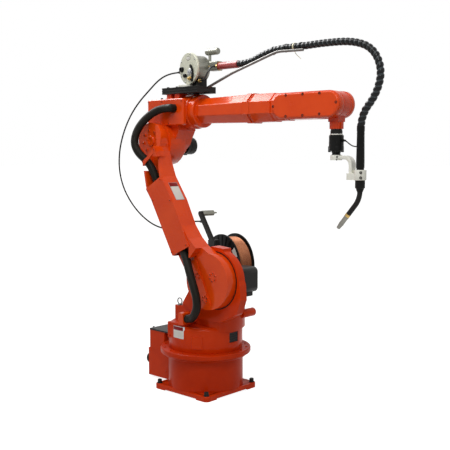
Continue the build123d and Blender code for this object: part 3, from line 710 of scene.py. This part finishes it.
def buildShortCord(cord):
    line = routeLine(cord["node"], cord["route"])
    bm = bmesh.new()
    addTube(bm, line, 0, line.length, 0.004, lambda distance: cord["diameter"] / 2, 16)
    piece = makePiece(cord["node"] + "_tube", bm, cord["body"], "black_rubber", ["conduitBlack"])
    layCord(cord["node"])


buildShortCord(gasHose)
buildShortCord(sensorLead)
print("cords laid")

# Foot: anchor bolts, the rim's screws and the connector box's fittings
boltRings = [
    (0, 0.01365), (0.0024, 0.01365), (0.003, 0.01281), (0.003, 0.0105), (0.017, 0.0105), (0.018, 0.009765),
    (0.018, 0.005775, "hex"), (0.0108, 0.005775, "hex"), (0.0108, 0.00105),
]
portRings = [
    (-0.012, 0.0275), (-0.01, 0.0285), (-0.002, 0.0285), (0.0, 0.0275), (0.0, 0.0245), (0.0052, 0.0245),
    (0.006, 0.0235), (0.006, 0.0195), (0.0045, 0.019), (0.0045, 0.002),
]
pinRings = [(0, 0.0016), (0.0012, 0.0016), (0.0014, 0.001)]
lidScrewRings = [
    (0, 0.0042), (0.00258, 0.0042), (0.003, 0.003612), (0.003, 0.002352, "hex"), (0.00105, 0.002268, "hex"),
    (0.0009, 0.00042),
]
boltReach, portReach = (-0.156, 0.156), (-0.03, 0.03)
lidSpots = [(x, y) for x in (-0.312, -0.206) for y in (-0.048, 0.048)]
pins = [pin for y in portReach for pin in ringPoints((-0.3635, y, 0.091), rearward, 0.011, 6, 0.3)]
footPieces = {
    "anchor_bolts": {
        "part": ("base", "black_paint"),
        "turned": [(placeAt((x, y, 0.025), upward), boltRings, 30) for x in boltReach for y in boltReach],
    },
    "rim_screws": {
        "part": ("base", "orange_paint", "orangeCast", "darkSteel"),
        "screws": [(ringPoints((0, 0, 0.207), upward, 0.1965, 16, 0.2), upward, 0.0052, 0.0035)],
    },
    "connector_fittings": {
        "part": ("base", "black_plastic", "blackPlastic", "bareSteel"),
        "turned": [
            *[(placeAt((-0.359, y, 0.091), rearward), portRings, 36) for y in portReach],
            *[(placeAt(pin, rearward), pinRings, 10, 1) for pin in pins],
            *[(placeAt((x, y, 0.25), upward), lidScrewRings, 24, 1) for x, y in lidSpots],
        ],
    },
    "connector_box_screws": {
        "part": ("base", "orange_paint", "orangeEnamel", "darkSteel"),
        "screws": [(
            [(x, -0.06, z) for x, z in ((-0.335, 0.026), (-0.335, 0.136), (-0.215, 0.052), (-0.215, 0.136))],
            front, 0.0042, 0.0024,
        )],
    },
}
buildPieces(footPieces)

# Turret: bare label, screws and a pad, a dark ring painted as the shadow in the shoulder's seam, and the
# lifting eye
eyeMiddle = (-0.13, -0.045, 0.411)
eyeRings = [(0.0026 * sin(t), 0.0145 + 0.0026 * cos(t)) for t in turnsOf(16)]
turretPieces = {
    "turret_label": {
        "part": ("turret", "white_paint", "bareLabel", "labelBand", "bareSteel"),
        "curvedLabels": [({
            "turns": (254.6, 280.5), "low": 0.269, "high": 0.3255, "radius": 0.176, "thick": 0.001,
            "band": 0.02, "edge": 0.0018, "slope": 0.0004,
        },)],
    },
    "turret_screws": {
        "part": ("turret", "orange_paint", "orangeCast", "darkSteel"),
        "screws": [
            ([(0.149, -0.093, 0.369)], front, 0.006, 0.0022),
            ([(-0.07, -0.168, 0.272), (-0.07, -0.168, 0.326), (0.012, -0.168, 0.273)], front, 0.0042, 0.0022),
            ([(0.135, -0.101, 0.676), (0.186, -0.101, 0.676)], front, 0.0055, 0.004),
        ],
        "pads": [({
            "turns": (-68, -50), "low": 0.226, "high": 0.286, "radius": 0.1765, "thick": 0.004,
            "slope": 0.003,
        },)],
    },
    # a thin black ring where the arm's disc meets the cheek, painted shadow of the gap in the seam
    "shoulder_seal": {
        "part": ("turret", "black_rubber"),
        "turned": [(placeAt((0.162, -0.105, 0.55), front), [
            (-0.0005, 0.1285), (0.00048, 0.1285), (0.0008, 0.1293), (0.0008, 0.1327),
            (0.00048, 0.1335), (-0.0005, 0.1335),
        ], 96, 0, True)],
    },
    "lifting_eye": {
        "part": ("turret", "bare_steel", "rodSteel"),
        "replaces": "eye_bolt",
        "turned": [
            (placeAt(eyeMiddle, front), eyeRings, 48, 0, True),
            (placeAt(eyeMiddle, upward), [
                (-0.019, 0.0105), (-0.016, 0.0105), (-0.0154, 0.0095), (-0.0148, 0.005), (-0.014, 0.0038),
                (-0.0135, 0.002),
            ], 28),
        ],
    },
}
buildPieces(turretPieces)

# Lower arm: bare label, the cover's screws and the screws of both discs
elbowMiddle = (-0.222, -0.141, 1.18)
coverSpots = [
    (-0.096, 1.002), (-0.182, 0.951), (-0.147, 0.905), (-0.03, 0.908), (0.073, 0.712), (-0.02, 0.671),
]
discClusters = [(0.107, 0.57, 0.013), (0.2, 0.574, 0.018), (0.152, 0.47, 0.014)]
armPieces = {
    "arm_label": {
        "part": ("arm", "white_paint", "bareLabel", "labelBand", "bareSteel"),
        "labels": [({
            "origin": (-0.0155, -0.1745, 0.9098), "across": (0, 1, 0), "normal": (0.822, 0, 0.569),
            "wide": 0.053, "tall": 0.094, "band": 0.022, "thick": 0.0009, "edge": 0.0016,
        },)],
    },
    "arm_screws": {
        "part": ("arm", "orange_paint", "orangeEnamel", "darkSteel"),
        "screws": [
            ([(x, -0.2, z) for x, z in coverSpots], front, 0.0048, 0.003),
            *[
                (ringPoints((x, -0.16, z), front, reach, 6, 0.4), front, 0.005, 0.0036)
                for x, z, reach in discClusters
            ],
            (ringPoints(elbowMiddle, front, 0.05, 8, 0.2), front, 0.0068, 0.006),
            ([(-0.203, -0.203, 1.07), (-0.133, -0.203, 1.14)], front, 0.0045, 0.003),
        ],
        "turned": [(placeAt(elbowMiddle, front), [
            (0, 0.024), (0.004, 0.024), (0.006, 0.022), (0.006, 0.013), (0.002, 0.012), (0.002, 0.002),
        ], 36)],
    },
}
buildPieces(armPieces)

# Elbow: cover screws and the breather
elbowSpots = [(-0.281, 1.263), (-0.281, 1.366), (-0.054, 1.366), (-0.14, 1.263), (-0.19, 1.366)]
elbowPieces = {
    "elbow_screws": {
        "part": ("elbow", "orange_paint", "orangeEnamel", "darkSteel"),
        "screws": [(
            [(x, -0.1, z) for x, z in elbowSpots], front, 0.0046, 0.003,
        )],
    },
    "elbow_breather": {
        "part": ("elbow", "black_paint"),
        "turned": [(placeAt((-0.231, -0.06, 1.376), upward), [
            (0, 0.0075), (0.003, 0.0075, "hex"), (0.003, 0.0055), (0.008, 0.0055), (0.01, 0.004),
        ])],
    },
}
buildPieces(elbowPieces)

# Forearm: the fork cover's screws and its rim
forkSpots = [
    (0.466, 1.318), (0.534, 1.3615), (0.621, 1.362), (0.706, 1.362), (0.786, 1.323), (0.706, 1.279),
    (0.621, 1.276), (0.534, 1.2745),
]
rimOutline = arcPoints((0.51, 1.318), 0.0545, 90, 270, 20) + arcPoints((0.7455, 1.318), 0.0545, 270, 450, 20)
forearmPieces = {
    "fork_cover_screws": {
        "part": ("forearm", "black_paint"),
        "screws": [([(x, -0.0658, z) for x, z in forkSpots], front, 0.0056, 0.006, 0, 0)],
    },
    "fork_cover_rim": {
        "part": ("forearm", "orange_paint"),
        "plates": [(rimOutline, 0.0022, facePlace((0, -0.0556, 0), ahead, front), 0.0008)],
    },
}
buildPieces(forearmPieces)

# Wrist: end rings of the drum and the round collar of the neck
drumRings = [(-0.002, 0.0536), (-0.0015, 0.0548), (0.0015, 0.0548), (0.002, 0.0536)]
wristPieces = {
    "wrist_rings": {
        "part": ("wrist", "orange_paint", "orangeTurned"),
        "turned": [
            (placeAt((0.742, -0.021, 1.318), front), drumRings, 72),
            (placeAt((0.742, 0.021, 1.318), leftward), drumRings, 72),
            (placeAt((0.742, 0, 1.219), upward), [
                (0.0005, 0.0243), (0.0005, 0.0276), (0.0015, 0.0286), (0.0235, 0.029), (0.0275, 0.029),
                (0.029, 0.0275), (0.029, 0.0243),
            ], 56),
        ],
    },
}
buildPieces(wristPieces)

# Tool: flange rings, the sensor's plug and clips, clamp screws, and the torch's rings
toolAxis = placeAt((0.742, 0, 0), upward)
torchAxis = placeAt((0.858, 0, 0), upward)
hubNormal = (0.68, -0.73, 0)
toolBase = Matrix.Translation((0.742, 0, 0))
clipPlaces = [toolBase @ Matrix.Rotation(radians(turn), 4, "Z") for turn in (190, 310, 70)]
gripRings = [(0, 0.015), (0.0005, 0.016), (0.003, 0.016), (0.0035, 0.015)]
toolPieces = {
    "flange_pale_ring": {
        "part": ("tool", "white_paint"),
        "turned": [(toolAxis, [(1.1952, 0.0253), (1.1962, 0.0268), (1.199, 0.0268), (1.2, 0.0253)], 56)],
    },
    "flange_sleeve": {
        "part": ("tool", "black_paint"),
        "turned": [(toolAxis, [
            (1.2002, 0.0236), (1.2012, 0.0246), (1.2126, 0.0246), (1.2131, 0.0234), (1.2186, 0.0234),
        ], 56)],
    },
    "sensor_clips": {
        "part": ("tool", "black_plastic"),
        "turned": [
            (placeAt((0.7715, 0, 1.173), ahead), [
                (-0.004, 0.0062), (0.004, 0.0062), (0.0045, 0.0052, "hex"), (0.0095, 0.0052, "hex"),
                (0.01, 0.0034), (0.0165, 0.0032), (0.017, 0.0026),
            ]),
            (toolAxis, [
                (1.1152, 0.016), (1.1152, 0.0185), (1.1215, 0.0165), (1.1308, 0.0215), (1.1308, 0.016),
            ], 56),
        ],
        "blocks": [
            *[((0.0265, -0.0065, 1.1262), (0.034, 0.0065, 1.15), 0.0015, place) for place in clipPlaces],
            *[((0.0285, -0.0042, 1.146), (0.032, 0.0042, 1.168), 0.001, place) for place in clipPlaces],
        ],
    },
    "torch_rings": {
        "part": ("tool", "black_plastic"),
        "turned": [
            *[(placeAt((0.858, 0, height), upward), gripRings, 40) for height in (1.198, 1.128, 1.066)],
            (torchAxis, [
                (1.062, 0.0145), (1.062, 0.0162), (1.064, 0.0168), (1.092, 0.0168), (1.207, 0.015),
                (1.209, 0.0158), (1.219, 0.016), (1.229, 0.0158), (1.23, 0.0148),
            ], 40),
            (torchAxis, [(0.968, 0.0106), (0.968, 0.0118), (0.98, 0.016), (0.98, 0.0106)], 40),
        ],
    },
    "clamp_screws": {
        "part": ("tool", "bare_steel", "bareSteel", "darkSteel"),
        "screws": [
            ([(0.874, -0.019, 1.046), (0.874, -0.019, 1.025)], front, 0.0058, 0.0042, 1, 1),
            ([(0.7585, -0.0172, 1.107)], hubNormal, 0.0042, 0.0024, 1, 1),
            ([(0.757, -0.0185, 1.0955)], hubNormal, 0.0029, 0.0024, 1, 1),
        ],
    },
}
buildPieces(toolPieces)

# Spool: the wound copper wire, the bare tag, the hub's bosses and the spindle's nut
spoolLook = {
    "middle": (-0.07, 0.19, 0.572), "yaw": -12, "low": 0.0066, "high": 0.0834, "width": 0.09, "wire": 0.0012,
    "woundTop": 0.1343, "bottom": 0.056, "bossReach": 0.042,
}
spoolPlace = Matrix.Translation(spoolLook["middle"]) @ Matrix.Rotation(radians(spoolLook["yaw"]), 4, "Z")
hub = spoolPlace @ placeAt((0, 0, 0), front)
hubSpots = [hub @ (spoolLook["bossReach"] * Vector((cos(t), sin(t), 0))) for t in turnsOf(6)]


def windingRings(look):
    # the top layer sags a little where the wire was laid unevenly
    low, high, top = look["low"], look["high"], look["woundTop"]
    rows = round((high - low) / look["wire"])
    pitch = (high - low) / rows
    rings = [(low, look["bottom"])]
    for row in range(rows):
        sag = 0.0016 * noise.noise(Vector((row * 0.09, 3.1, 0)))
        sag += 0.0003 * noise.noise(Vector((row * 1.7, 8.2, 0)))
        rings += [(low + pitch * row, top + sag - 0.0006), (low + pitch * (row + 0.5), top + sag)]
    return rings + [(high, top - 0.0006), (high, look["bottom"])]


spoolPieces = {
    "copper_turns": {
        "part": ("spool", "copper"), "smooth": 80,
        "replaces": "copper_winding",
        "turned": [(spoolPlace @ placeAt((0, 0, 0), leftward), windingRings(spoolLook), 96)],
    },
    "spool_tag": {
        "part": ("spool", "white_paint", "bareLabel"),
        "plates": [(
            bandPoints((0, 0), 0.116, 0.143, 21, 41, 8), 0.0008,
            spoolPlace @ facePlace((0, -0.0029, 0), ahead, front), 0.0002,
        )],
    },
    "spool_hub_bosses": {
        "part": ("spool", "black_plastic"),
        "turned": [(placeAt(spot, hub.to_3x3() @ Vector(upward)), [
            (0, 0.0075), (0.0016, 0.0075), (0.0022, 0.0068), (0.0022, 0.0045), (0.0006, 0.004),
            (0.0006, 0.001),
        ], 20) for spot in hubSpots],
    },
    "spindle_nut": {
        "part": ("turret", "black_plastic"),
        "turned": [(spoolPlace @ placeAt((0, spoolLook["width"] + 0.0005, 0), leftward), [
            (0, 0.0405), (0.003, 0.0405), (0.004, 0.039), (0.004, 0.0325, "hex"), (0.0115, 0.0325, "hex"),
            (0.013, 0.029), (0.0134, 0.0255), (0.0136, 0.0255),
        ], 48)],
    },
}
buildPieces(spoolPieces)

# Wire feeder: front fittings, handle rings and the outlet's union
feederPlace = Matrix.Translation((-0.05, -0.06, 0)) @ Matrix.Rotation(radians(-10), 4, "Z")
feederOut = feederPlace.to_3x3() @ Vector(front)
feederAcross = feederPlace.to_3x3() @ Vector(ahead)
badge = feederPlace @ facePlace((0.001, 0, 1.56), ahead, front)
drumScrews = [radians(turn) for turn in (35, 75, 148, 212, 250, 328)]
handlePlaces = (-0.004, 0.01, 0.024, 0.038, 0.052)
handleRings = [(0, 0.0149), (0.001, 0.016), (0.006, 0.016), (0.007, 0.0149)]


def feederSpot(across, height):
    return feederPlace @ Vector((across, 0, height))


feederPieces = {
    "feeder_badge": {
        "part": ("elbow", "cream_plastic", "bareLabel", "darkSteel", "bareSteel"),
        "plates": [
            (ovalPoints(0.0162, 0.0087), 0.0008, badge, 0.0003, 1),
            (ovalPoints(0.015, 0.0075), 0.0014, badge, 0.0003),
        ],
        "screws": [(
            [feederSpot(0.0645 * cos(t), 1.514 + 0.0645 * sin(t)) for t in drumScrews],
            feederOut, 0.0036, 0.0024, 2, 1,
        )],
    },
    "feeder_lever": {
        "part": ("elbow", "black_plastic"),
        "turned": [
            (placeAt(feederSpot(-0.049, 1.512), feederOut), [
                (0, 0.01288), (0.002, 0.01288), (0.003, 0.0115), (0.01, 0.0115), (0.012, 0.01012),
                (0.012, 0.00713), (0.006, 0.00667), (0.006, 0.00115),
            ], 36),
            (placeAt(feederSpot(-0.016, 1.481), feederOut), [
                (0, 0.0057), (0.004, 0.0057), (0.005, 0.0095), (0.014, 0.009025), (0.016, 0.00665),
            ], 28),
        ],
        "plates": [(
            bandPoints((-0.012, 1.486), 0.0475, 0.0565, 52, -38, 14), 0.008,
            feederPlace @ facePlace((0, 0, 0), ahead, front), 0.0016,
        )],
    },
    "feeder_roller": {
        "part": ("elbow", "bare_steel"),
        "turned": [(placeAt(feederSpot(0.012, 1.496), feederOut), [
            (0, 0.015), (0.003, 0.015), (0.004, 0.0141), (0.004, 0.012), (0.007, 0.0111), (0.007, 0.006),
            (0.011, 0.006, "hex"), (0.011, 0.003),
        ], 40)],
    },
    "feeder_nuts": {
        "part": ("elbow", "brass"),
        "turned": [
            (placeAt(feederSpot(0.016, 1.466), feederOut), [
                (0, 0.0102), (0.002, 0.0102), (0.002, 0.0085, "hex"), (0.009, 0.0085, "hex"), (0.01, 0.00595),
                (0.015, 0.00527), (0.016, 0.00425),
            ], 30),
            (placeAt(feederPlace @ Vector((0.0405, 0.03, 1.456)), feederAcross), [
                (0, 0.0075), (0.001, 0.0088, "hex"), (0.009, 0.0088, "hex"), (0.01, 0.0066), (0.015, 0.0066),
                (0.0155, 0.0062),
            ], 30),
        ],
    },
    "outlet_union": {
        "part": ("elbow", "brass"),
        "turned": [
            (placeAt((0.068, 0.02, 1.522), ahead), [
                (0, 0.0205), (0.001, 0.0215, "hex"), (0.0055, 0.0215, "hex"), (0.0065, 0.0205),
            ], 36),
            (placeAt((0.02, 0.02, 1.522), ahead), [
                (0, 0.0195), (0.001, 0.0205, "hex"), (0.007, 0.0205, "hex"), (0.008, 0.0195),
            ], 36),
        ],
    },
    "handle_rings": {
        "part": ("elbow", "grey_metal"),
        "turned": [
            *[(placeAt((x, 0.02, 1.591), ahead), handleRings, 40) for x in handlePlaces],
            (placeAt((0.066, 0.02, 1.591), ahead), [
                (-0.004, 0.012), (-0.001, 0.0128), (0.0008, 0.011), (0.0008, 0.006), (-0.001, 0.005),
                (-0.001, 0.001),
            ], 32),
        ],
    },
}
buildPieces(feederPieces)

# Rail: folded lips and bolts, and the pale pad under the feeder's plate
railBolts = [(-0.19, -0.057), (-0.19, 0.025), (0.008, -0.057), (0.008, 0.025), (-0.13, -0.057)]
railPieces = {
    "rail_lips": {
        "part": ("elbow", "black_paint"),
        "blocks": [
            ((-0.208, -0.0816, low), (0.027, -0.079, high), 0.0007)
            for low, high in ((1.4005, 1.406), (1.4125, 1.4175), (1.424, 1.4295))
        ],
        "turned": [(placeAt((x, y, 1.43), upward), [
            (0, 0.00775), (0.00116875, 0.00775), (0.001375, 0.007316), (0.001375, 0.0062, "hex"),
            (0.00506, 0.0062, "hex"), (0.0055, 0.005332), (0.0055, 0.00062),
        ]) for x, y in railBolts],
    },
    "feeder_pad": {
        "part": ("elbow", "white_paint"),
        "blocks": [((-0.104, -0.074, 1.43), (-0.044, -0.018, 1.4405), 0.002)],
    },
}
buildPieces(railPieces)

# Ties that hold the torch cable to its rod, one of them pale with a loose tail
cableTies = {
    "reach": 0.0172,
    "wide": 0.005,
    "pieces": {
        "cable_ties_black": ("black_plastic", "wrapBlack", (0.395, 0.47, 0.548), None),
        "cable_tie_pale": ("cream_plastic", "tieNylon", (0.512,), [
            (0.0, 0.0, 0.0), (0.012, -0.004, -0.014), (0.026, -0.007, -0.024), (0.04, -0.006, -0.036),
        ]),
    },
}


def buildCableTies(ties, line):
    reach, half = ties["reach"], ties["wide"] / 2
    for name, (slotName, finish, places, tail) in ties["pieces"].items():
        bm = bmesh.new()
        for x in places:
            middle = line.nearest(min(line.points, key=lambda point: (point.x - x) ** 2 + (point.z <= 1.5)))
            addTube(bm, line, middle - half, middle + half, 0.0012, lambda distance: reach, 28)
            point, side, up = line.at(middle)
            head = (point - up * reach if up.z > 0 else point + up * reach) - side * 0.004
            place = Matrix.Translation(head)
            addBlock(bm, (-0.0035, -0.003, -0.0028), (0.0035, 0.003, 0.0028), 0.0008, place)
        if tail:
            tailLine = routeLine("tieTail", [tuple(head + Vector(shift)) for shift in tail], 12)
            addTube(bm, tailLine, 0, tailLine.length, 0.003, lambda distance: 0.0014, 8)
        holdPiece(makePiece(name, bm, None, slotName, [finish], 50), cableStart)


buildCableTies(cableTies, torchCableLine)

# Motors: end caps and their plugs, and the round case of the elbow's motor
capRings = [(0, 0.024), (0.003, 0.024), (0.0045, 0.0225), (0.0045, 0.014), (0.0025, 0.013), (0.0025, 0.002)]
plugRings = [
    (-0.006, 0.0135), (0.003, 0.0135), (0.003, 0.015), (0.01, 0.015), (0.011, 0.014), (0.011, 0.01),
    (0.014, 0.0095), (0.015, 0.007), (0.015, 0.002),
]


def motorEnd(body, middle, screwReach, screwRise, plug):
    x, y, z = middle
    sides, levels = (-screwReach, screwReach), (-screwRise, screwRise)
    corners = [(x + side, y, z + level) for side in sides for level in levels]
    return {
        "part": (body, "black_plastic"),
        "screws": [(corners, leftward, 0.0045, 0.0035, 0, 0)],
        "turned": [(placeAt(middle, leftward), capRings, 40), (placeAt(plug, (0, 0, -1)), plugRings, 30)],
    }


motorPieces = {
    "shoulder_motor_plug": motorEnd("turret", (0.162, 0.127, 0.534), 0.03608, 0.03854, (0.186, 0.087, 0.47)),
    "elbow_motor_plug": motorEnd("elbow", (-0.204, 0.116, 1.159), 0.02296, 0.02296, (-0.226, 0.09, 1.128)),
    "elbow_motor_case": {
        "part": ("elbow", "black_paint"),
        "replaces": "elbow_motor",
        "turned": [(placeAt((-0.204, 0.0562, 1.159), leftward), [
            (0, 0.041), (0.01794, 0.041), (0.019136, 0.0395), (0.021528, 0.0395), (0.022724, 0.041),
            (0.0558, 0.041), (0.0598, 0.037),
        ], 56)],
        "blocks": [((-0.247, 0.062, 1.117), (-0.198, 0.112, 1.159), 0.003)],
    },
}
buildPieces(motorPieces)

# Elbow's hose end: the hose turns into the housing's face
hoseBend = [(0.013 + 0.0195 * sin(pi * n / 16), 0.0195 * cos(pi * n / 16)) for n in range(8)]
hoseEndPieces = {
    "hose_end": {
        "part": ("elbow", "black_rubber"),
        "replaces": "hose_socket",
        "turned": [
            (placeAt((-0.118, -0.125, 1.331), ahead), [(0, 0.0195)] + hoseBend, 40),
            (placeAt((-0.105, -0.125, 1.331), leftward), [
                (0, 0.019461), (0.043, 0.019461), (0.043, 0.02379), (0.05, 0.02379), (0.051, 0.02301),
            ], 40),
        ],
    },
}
buildPieces(hoseEndPieces)

# Gas nozzle: the contact tip inside and two turned rings
nozzleTip = Vector((0.756, 0, 0.818))
nozzleAim = Vector((sin(radians(40)), 0, cos(radians(40))))
nozzlePieces = {
    "contact_tip": {
        "part": ("tool", "copper"),
        "turned": [(placeAt(nozzleTip + nozzleAim * 0.0275, -nozzleAim), [
            (0, 0.0034), (0.022, 0.0034), (0.0245, 0.00204), (0.0245, 0.00085),
        ], 20)],
    },
    "nozzle_rings": {
        "part": ("tool", "bare_steel", "nozzleSteel"),
        "turned": [(placeAt(nozzleTip + nozzleAim * along, nozzleAim), [
            (0, radius - 0.0012), (0.0004, radius), (0.003, radius), (0.0034, radius - 0.0012),
        ], 36) for along, radius in ((0.0235, 0.0106), (0.06, 0.0108))],
    },
}
buildPieces(nozzlePieces)
print("details built")

# CAD nodes: their finish, and small rounded edges on the cast and machined ones
nodeFinish = {
    "support_rod": "rodSteel", "feeder_outlet": "greyMetal", "gas_nozzle": "nozzleSteel",
    # the base drum, turret housing, base plate, connector box and turn motor box take the darker orange
    # copies, painted shade
    "wrist_body": "orangeTurned", "hose_socket": "orangeEnamel", "base_drum": "orangeDrum",
    "turret_housing": "orangeCast", "base_plate": "orangeCast", "connector_box": "orangeCast",
    "turn_motor_box": "orangeCast",
}


def finishNodes():
    slots = {row["node"]: row["material_slot"] for row in frame["record"]["subparts"]}
    for name, node in nodes.items():
        material = finishes[nodeFinish.get(name, slotFinish[slots[name]])]
        if not node.material_slots:
            node.data.materials.append(material)
        for place in node.material_slots:
            place.material = material


easedEdges = {
    0.011: ["forearm_tube"],
    0.004: ["turret_housing", "elbow_housing", "connector_box", "lower_arm"],
    0.003: ["wrist_fork", "base_plate", "shoulder_motor"],
    0.0015: [
        "arm_cover", "spool_bracket", "wire_guide_bar", "feeder_rail", "feeder_stand", "feeder_outlet",
        "torch_bracket", "turn_motor_box", "hose_gland", "connector_lid", "torch_clamp",
    ],
}


def easeEdges():
    for width, names in easedEdges.items():
        for name in names:
            node = nodes[name]
            weld = node.modifiers.new("weld", "WELD")
            weld.merge_threshold = 0.00002
            bevel = node.modifiers.new("easedEdge", "BEVEL")
            bevel.width = width
            bevel.segments = 3
            bevel.limit_method = "ANGLE"
            bevel.angle_limit = radians(38)
            bevel.use_clamp_overlap = True
            bevel.harden_normals = True


finishNodes()
easeEdges()
print("nodes finished")

# Stage: a pale floor, a white surround and soft lamps
stageLook = {
    "floorTone": "c9c9c7",
    "floorGlow": 0.84,
    "floorReach": 60,
    "surround": 0.28,
    "lampAim": (0.2, 0, 0.8),
    "lamps": [
        ("keyLamp", (1.8, -2.2, 3.3), (1.5, 1.5), 46, True),
        ("topLamp", (0.0, -0.8, 3.3), (1.5, 1.5), 30, True),
        ("sideLamp", (4.2, 1.2, 3.0), (2.0, 2.0), 8, True),
        ("glintLamp", (-1.62, -0.25, 3.15), (2.2, 1.1), 95, False),
    ],
}


def seenRays(tree):
    # 1 for what the camera, a glossy or a transmission ray sees
    rays = addNode(tree, "LightPath").outputs
    seen = addMath(tree, "MAXIMUM", rays["Is Camera Ray"], rays["Is Glossy Ray"])
    return addMath(tree, "MAXIMUM", seen, rays["Is Transmission Ray"])


def buildStage(look):
    material = bpy.data.materials.new("floorPaint")
    material.use_nodes = True
    tree = material.node_tree
    shader = tree.nodes["Principled BSDF"]
    shader.inputs["Base Color"].default_value = tone(look["floorTone"])
    shader.inputs["Roughness"].default_value = 0.8
    strength = addMath(tree, "MULTIPLY", seenRays(tree), look["floorGlow"])
    glow = addNode(tree, "Emission", None, {"Strength": strength})
    both = addNode(tree, "AddShader", None, {0: shader.outputs[0], 1: glow.outputs[0]})
    tree.links.new(both.outputs[0], tree.nodes["Material Output"].inputs["Surface"])
    bm = bmesh.new()
    bmesh.ops.create_grid(bm, x_segments=2, y_segments=2, size=look["floorReach"])
    mesh = bpy.data.meshes.new("floor")
    bm.to_mesh(mesh)
    bm.free()
    mesh.materials.append(material)
    floor = bpy.data.objects.new("floor", mesh)
    bpy.context.collection.objects.link(floor)
    world = bpy.data.worlds.new("surround")
    world.use_nodes = True
    bpy.context.scene.world = world
    tree = world.node_tree
    backdrop = tree.nodes["Background"]
    feed(tree, backdrop.inputs["Strength"], addRange(tree, seenRays(tree), 0, 1, look["surround"], 1))
    backdrop.inputs["Color"].default_value = (1, 1, 1, 1)
    for name, place, size, power, spreads in look["lamps"]:
        data = bpy.data.lights.new(name, "AREA")
        data.shape = "RECTANGLE"
        data.size, data.size_y = size
        data.energy = power
        lamp = bpy.data.objects.new(name, data)
        lamp.location = place
        aim = Vector(look["lampAim"]) - Vector(place)
        lamp.rotation_euler = aim.to_track_quat("-Z", "Y").to_euler()
        lamp.visible_diffuse = spreads
        bpy.context.collection.objects.link(lamp)
    bpy.context.scene.view_settings.view_transform = "Standard"


buildStage(stageLook)
print("stage lit")
